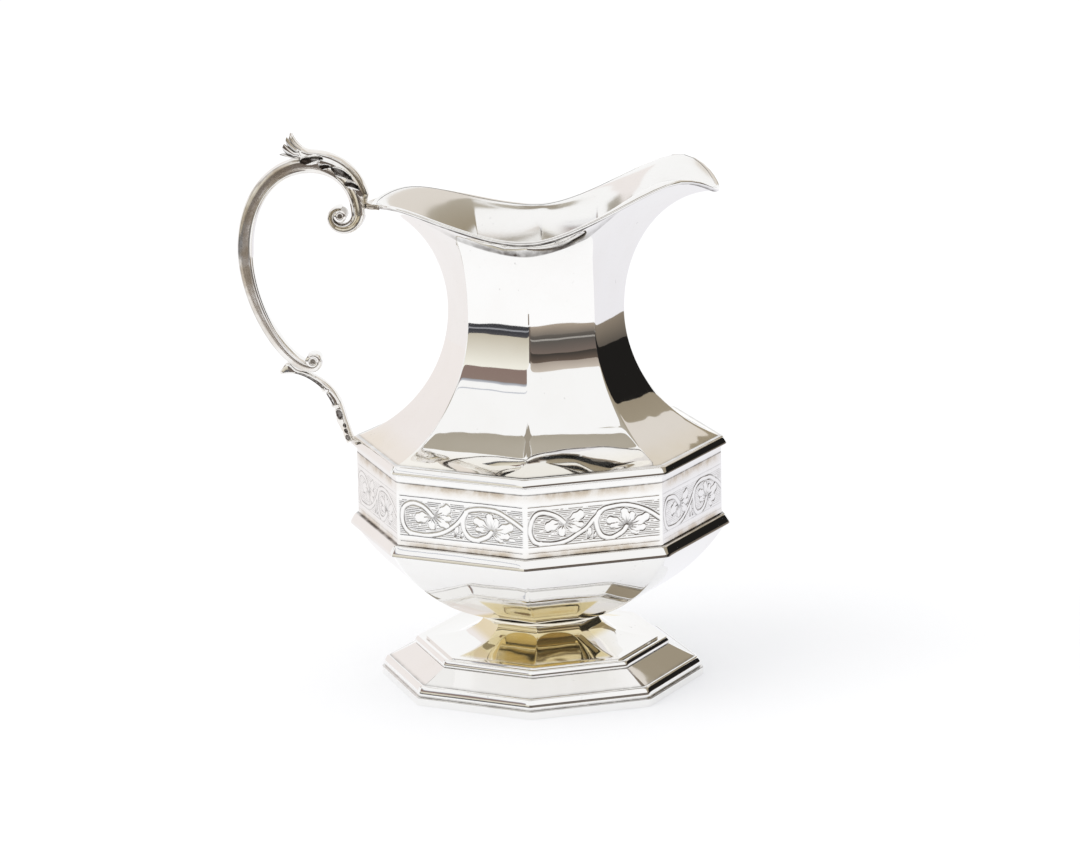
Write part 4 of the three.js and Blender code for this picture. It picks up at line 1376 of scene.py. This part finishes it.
# Cards round the jug: directions and elevations, from and to in degrees, then colours at foot and head
CARDS = (
    ("card_left_edge", -176, -112, -9.0, -6.6, (0.05, 0.05, 0.055), (0.06, 0.06, 0.068)),
    ("card_left_gleam", -176, -112, -6.6, -5.7, (0.3, 0.31, 0.34), (0.36, 0.36, 0.38)),
    ("card_left_base", -176, -112, -5.7, -2.5, (0.045, 0.046, 0.055), (0.085, 0.082, 0.088)),
    ("card_left_wall", -176, -112, -2.5, 17.5, (0.58, 0.53, 0.43), (0.95, 0.93, 0.84)),
    ("card_left_shelf", -176, -136.5, 17.5, 26.0, (0.27, 0.195, 0.17), (0.28, 0.21, 0.18)),
    ("card_left_line", -176, -136.5, 26.0, 27.6, (0.30, 0.31, 0.34), (0.62, 0.63, 0.68)),
    ("card_left_thread", -176, -136.5, 31.6, 32.3, (0.5, 0.52, 0.58), (0.6, 0.62, 0.68)),
    ("card_front", -112, -68, -9.0, 17.5, (0.16, 0.13, 0.11), (0.12, 0.095, 0.08)),
    ("card_near", -126, -96, -12.5, -9.8, (0.3, 0.25, 0.2), (0.2, 0.16, 0.13)),
    ("card_right_edge", -68, -10, -9.0, -3.0, (0.42, 0.35, 0.28), (0.2, 0.175, 0.15)),
    ("card_right_base", -68, -22, -3.0, -0.6, (0.14, 0.125, 0.11), (0.1, 0.09, 0.08)),
    ("card_right_gleam", -68, -22, -0.6, 0.5, (0.42, 0.4, 0.37), (0.34, 0.32, 0.3)),
    ("card_right_room", -68, -22, 0.5, 9.0, (0.11, 0.1, 0.09), (0.19, 0.15, 0.13)),
    ("card_right_post", -22, -8, -3.0, 16.8, POST, POST),
    ("card_right_shelf", -68, -22, 9.0, 15.0, (0.05, 0.045, 0.04), (0.14, 0.105, 0.085)),
    ("card_right_head", -68, -22, 15.0, 21.0, (0.42, 0.36, 0.31), (0.62, 0.55, 0.48)),
    ("card_dark_edge", -8, 47, -9.0, -1.5, (0.27, 0.225, 0.175), (0.11, 0.095, 0.08)),
    ("card_dark", -8, 47, -1.5, 16.8, BLACK, BLACK),
    ("card_wall", -22, 58, 16.8, 22.6, TAN, TAN_HEAD),
    ("card_side_wall", 58, 74, 13.0, 24.6, TAN, TAN_HEAD),
    ("card_high_wall", -22, 40, 22.6, 62.0, TAN_HEAD, (0.47, 0.43, 0.36)),
    ("card_light_wall", 40, 58, 22.6, 58.0, PALE, PALE),
    ("card_far_wall", 58, 84, 24.6, 58.0, PALE, PALE),
    ("card_beam_left", 150, 192, 58.0, 66.0, BEAM_EDGE, BEAM_HEAD),
    ("card_beam_right", -25, 30, 65.5, 74.5, BEAM_EDGE, BEAM_HEAD),
    ("card_beam_turn", -168, -130, 60.0, 66.5, BEAM, BEAM),
    ("card_beam_arch", -210, -25, 66.5, 82.0, BEAM, BEAM),
    ("card_beam_side", -25, 60, 75.0, 82.0, BEAM, BEAM),
    ("card_beam_top", -180, 180, 82.0, 89.9, BEAM, BEAM),
    ("card_back", 112, 143, -4.0, 34.0, (0.93, 0.88, 0.86), (0.90, 0.85, 0.83)),
    ("card_back_shelf", 143, 160, 13.0, 26.0, (0.36, 0.33, 0.28), (0.42, 0.39, 0.33)),
    ("card_back_floor", 112, 165, -45.0, -4.0, (0.97, 0.96, 0.97), (0.93, 0.89, 0.88)),
    # Painted shadow: the floor to the right and behind, in pale bluish grey as in the jug's shadow
    ("card_side_floor_shadow", 5, 85, -55.0, -9.0, (0.95, 0.95, 0.98), (0.89, 0.88, 0.915)),
)
# The cards' sphere in metres: radius, height of its middle, and the drop from there to just over the floor
CARD_REACH = 0.55
CARD_MIDDLE = 0.08
CARD_DROP = 0.079
CARD_COLUMNS = 25
CARD_ROWS = 13
# Half of the floor's side, in metres
FLOOR_HALF = 8.0
# The lamp's breadth and its tilts about x and y, in degrees
LAMP_BREADTH = 50
LAMP_TILTS = (24, -40)
# The photograph's view: direction, elevation and tilt in degrees, places in metres, lens in millimetres
VIEW_ANGLES = (4.44, 13.3, -1.02)
VIEW_DISTANCE = 1.03505
VIEW_ASIDE = 0.00041
VIEW_HEIGHT = 0.05776
LENS = 149.85


class JUG_OT_stage(bpy.types.Operator):
    """Builds the floor, the surroundings, the lamp and the camera."""

    bl_idname = "jug.stage"
    bl_label = "Stage"

    def execute(self, context):
        stage = context.scene.jug_stage
        self.floor(stage)
        self.world(context, stage)
        for card in CARDS:
            self.card(*card)
        lamp = bpy.data.lights.new("lamp", "SUN")
        lamp.angle = math.radians(LAMP_BREADTH)
        lamp.energy = stage.lamp
        shown = self.stand("lamp", lamp)
        shown.rotation_euler = (*np.radians(LAMP_TILTS), 0)
        shown.visible_glossy = False
        self.camera(context)
        context.scene.view_settings.view_transform = "Standard"
        return {"FINISHED"}

    def stand(self, name, data):
        """Puts a new object on the stage."""
        shown = bpy.data.objects.new(name, data)
        bpy.context.scene.collection.objects.link(shown)
        return shown

    def floor(self, stage):
        """A square floor of four corners at the foot's height."""
        mesh = bpy.data.meshes.new("floor")
        corners = [(FLOOR_HALF * x, FLOOR_HALF * y, 0) for x, y in ((-1, -1), (1, -1), (1, 1), (-1, 1))]
        mesh.from_pydata(corners, [], [(0, 1, 2, 3)])
        material, shader = new_material("floor")
        shader.inputs["Base Color"].default_value = colour(stage.floor)
        shader.inputs["Emission Color"].default_value = colour(stage.glow)
        shader.inputs["Emission Strength"].default_value = 1.0
        shader.inputs["Roughness"].default_value = 0.9
        shader.inputs["Specular IOR Level"].default_value = 0.0
        mesh.materials.append(material)
        self.stand("floor", mesh)

    def world(self, context, stage):
        """White surroundings: full strength to the eye and in reflections, the sky's on the floor."""
        world = bpy.data.worlds.new("surroundings")
        world.use_nodes = True
        context.scene.world = world
        tree = world.node_tree
        start = Wire(tree, None)
        seen = [start.node("ShaderNodeLightPath", output=name)
                for name in ("Is Camera Ray", "Is Glossy Ray", "Is Transmission Ray")]
        straight = (seen[0] + seen[1] + seen[2]).held()
        background = tree.nodes["Background"]
        background.inputs["Color"].default_value = (1.0, 1.0, 1.0, 1.0)
        start.plug(background.inputs["Strength"], straight + (1.0 - straight) * stage.sky)

    def card(self, name, start, end, bottom, top, foot, head):
        """A strip of a sphere round the jug, seen only in reflections: direction by elevation.

        Where the sphere lies under the floor the strip runs in along the floor instead. Its colour changes
        evenly from its foot to its head.
        """
        turn, lift = np.meshgrid(np.linspace(start, end, CARD_COLUMNS), np.linspace(bottom, top, CARD_ROWS))
        share = ((lift - bottom) / (top - bottom)).reshape(-1, 1)
        turn, lift = np.radians(turn), np.radians(lift)
        spots = np.stack([np.cos(lift) * np.cos(turn), np.cos(lift) * np.sin(turn), np.sin(lift)], -1)
        spots = spots.reshape(-1, 3)
        far = np.minimum(CARD_REACH, CARD_DROP / np.maximum(-spots[:, 2:], 1e-6))
        spots = spots * far + [AXIS_X * MM, 0, CARD_MIDDLE]
        mesh = bpy.data.meshes.new(name)
        mesh.from_pydata(spots.tolist(), [], grid_faces(CARD_ROWS, CARD_COLUMNS).tolist())
        mixed = np.array(foot) * (1 - share) + np.array(head) * share
        shades = np.column_stack([mixed, np.ones(len(share))])
        stored = mesh.attributes.new("shade", "FLOAT_COLOR", "POINT")
        stored.data.foreach_set("color", shades.astype(np.float32).ravel())
        mesh.materials.append(self.glow())
        shown = self.stand(name, mesh)
        shown.visible_camera = False
        shown.visible_diffuse = False
        shown.visible_shadow = False

    def glow(self):
        """The cards' material, which shows the colour stored with their points."""
        found = bpy.data.materials.get("card")
        if found:
            return found
        material, _ = new_material("card")
        tree = material.node_tree
        tree.nodes.clear()
        wire = Wire(tree, None)
        shade = wire.node("ShaderNodeAttribute", attribute_name="shade", output="Color")
        light = wire.node("ShaderNodeEmission", {"Color": shade, "Strength": 1.0})
        wire.plug(tree.nodes.new("ShaderNodeOutputMaterial").inputs["Surface"], light)
        return material

    def camera(self, context):
        """The photograph's view: a long lens a little to the right of the front and above the mouth."""
        turn, lift, tilt = np.radians(VIEW_ANGLES)
        back = np.array([np.sin(turn) * np.cos(lift), -np.cos(turn) * np.cos(lift), np.sin(lift)])
        right = np.array([np.cos(turn), np.sin(turn), 0])
        up = np.cross(back, right)
        tilted = np.cos(tilt) * right + np.sin(tilt) * up
        upright = np.cos(tilt) * up - np.sin(tilt) * right
        place = back * VIEW_DISTANCE + right * VIEW_ASIDE + [AXIS_X * MM, 0, VIEW_HEIGHT]
        lens = bpy.data.cameras.new("camera")
        lens.sensor_fit = "HORIZONTAL"
        lens.sensor_width = 36
        lens.lens = LENS
        lens.clip_start = 0.05
        lens.clip_end = 50
        shown = bpy.data.objects.new("camera", lens)
        axes = np.column_stack([tilted, upright, back, place])
        shown.matrix_world = Matrix([*axes.tolist(), [0, 0, 0, 1]])
        context.scene.collection.objects.link(shown)
        context.scene.camera = shown


class JUG_PT_panel(bpy.types.Panel):
    """Lists the jug's sizes, looks and pieces in the sidebar."""

    bl_idname = "JUG_PT_panel"
    bl_label = "Cream jug"
    bl_space_type = "VIEW_3D"
    bl_region_type = "UI"
    bl_category = "Cream jug"

    def draw(self, context):
        layout = self.layout
        for group in (context.scene.jug_sizes, context.scene.jug_looks, context.scene.jug_stage):
            for key in group.__annotations__:
                layout.prop(group, key)
        for operator in OPERATORS:
            layout.operator(operator.bl_idname)


OPERATORS = (
    JUG_OT_foot,
    JUG_OT_stem,
    JUG_OT_bowl,
    JUG_OT_belt,
    JUG_OT_neck,
    JUG_OT_handle,
    JUG_OT_leaf,
    JUG_OT_bracket,
    JUG_OT_stage,
)
GROUPS = {"jug_sizes": JugSizes, "jug_looks": JugLooks, "jug_stage": JugStage}


def register():
    for cls in (*GROUPS.values(), *OPERATORS, JUG_PT_panel):
        bpy.utils.register_class(cls)
    for key, group in GROUPS.items():
        setattr(bpy.types.Scene, key, bpy.props.PointerProperty(type=group))


def unregister():
    for key in GROUPS:
        delattr(bpy.types.Scene, key)
    for cls in reversed((*GROUPS.values(), *OPERATORS, JUG_PT_panel)):
        bpy.utils.unregister_class(cls)


def main():
    register()
    for operator in OPERATORS:
        group, name = operator.bl_idname.split(".")
        getattr(getattr(bpy.ops, group), name)()


if __name__ == "__main__":
    main()
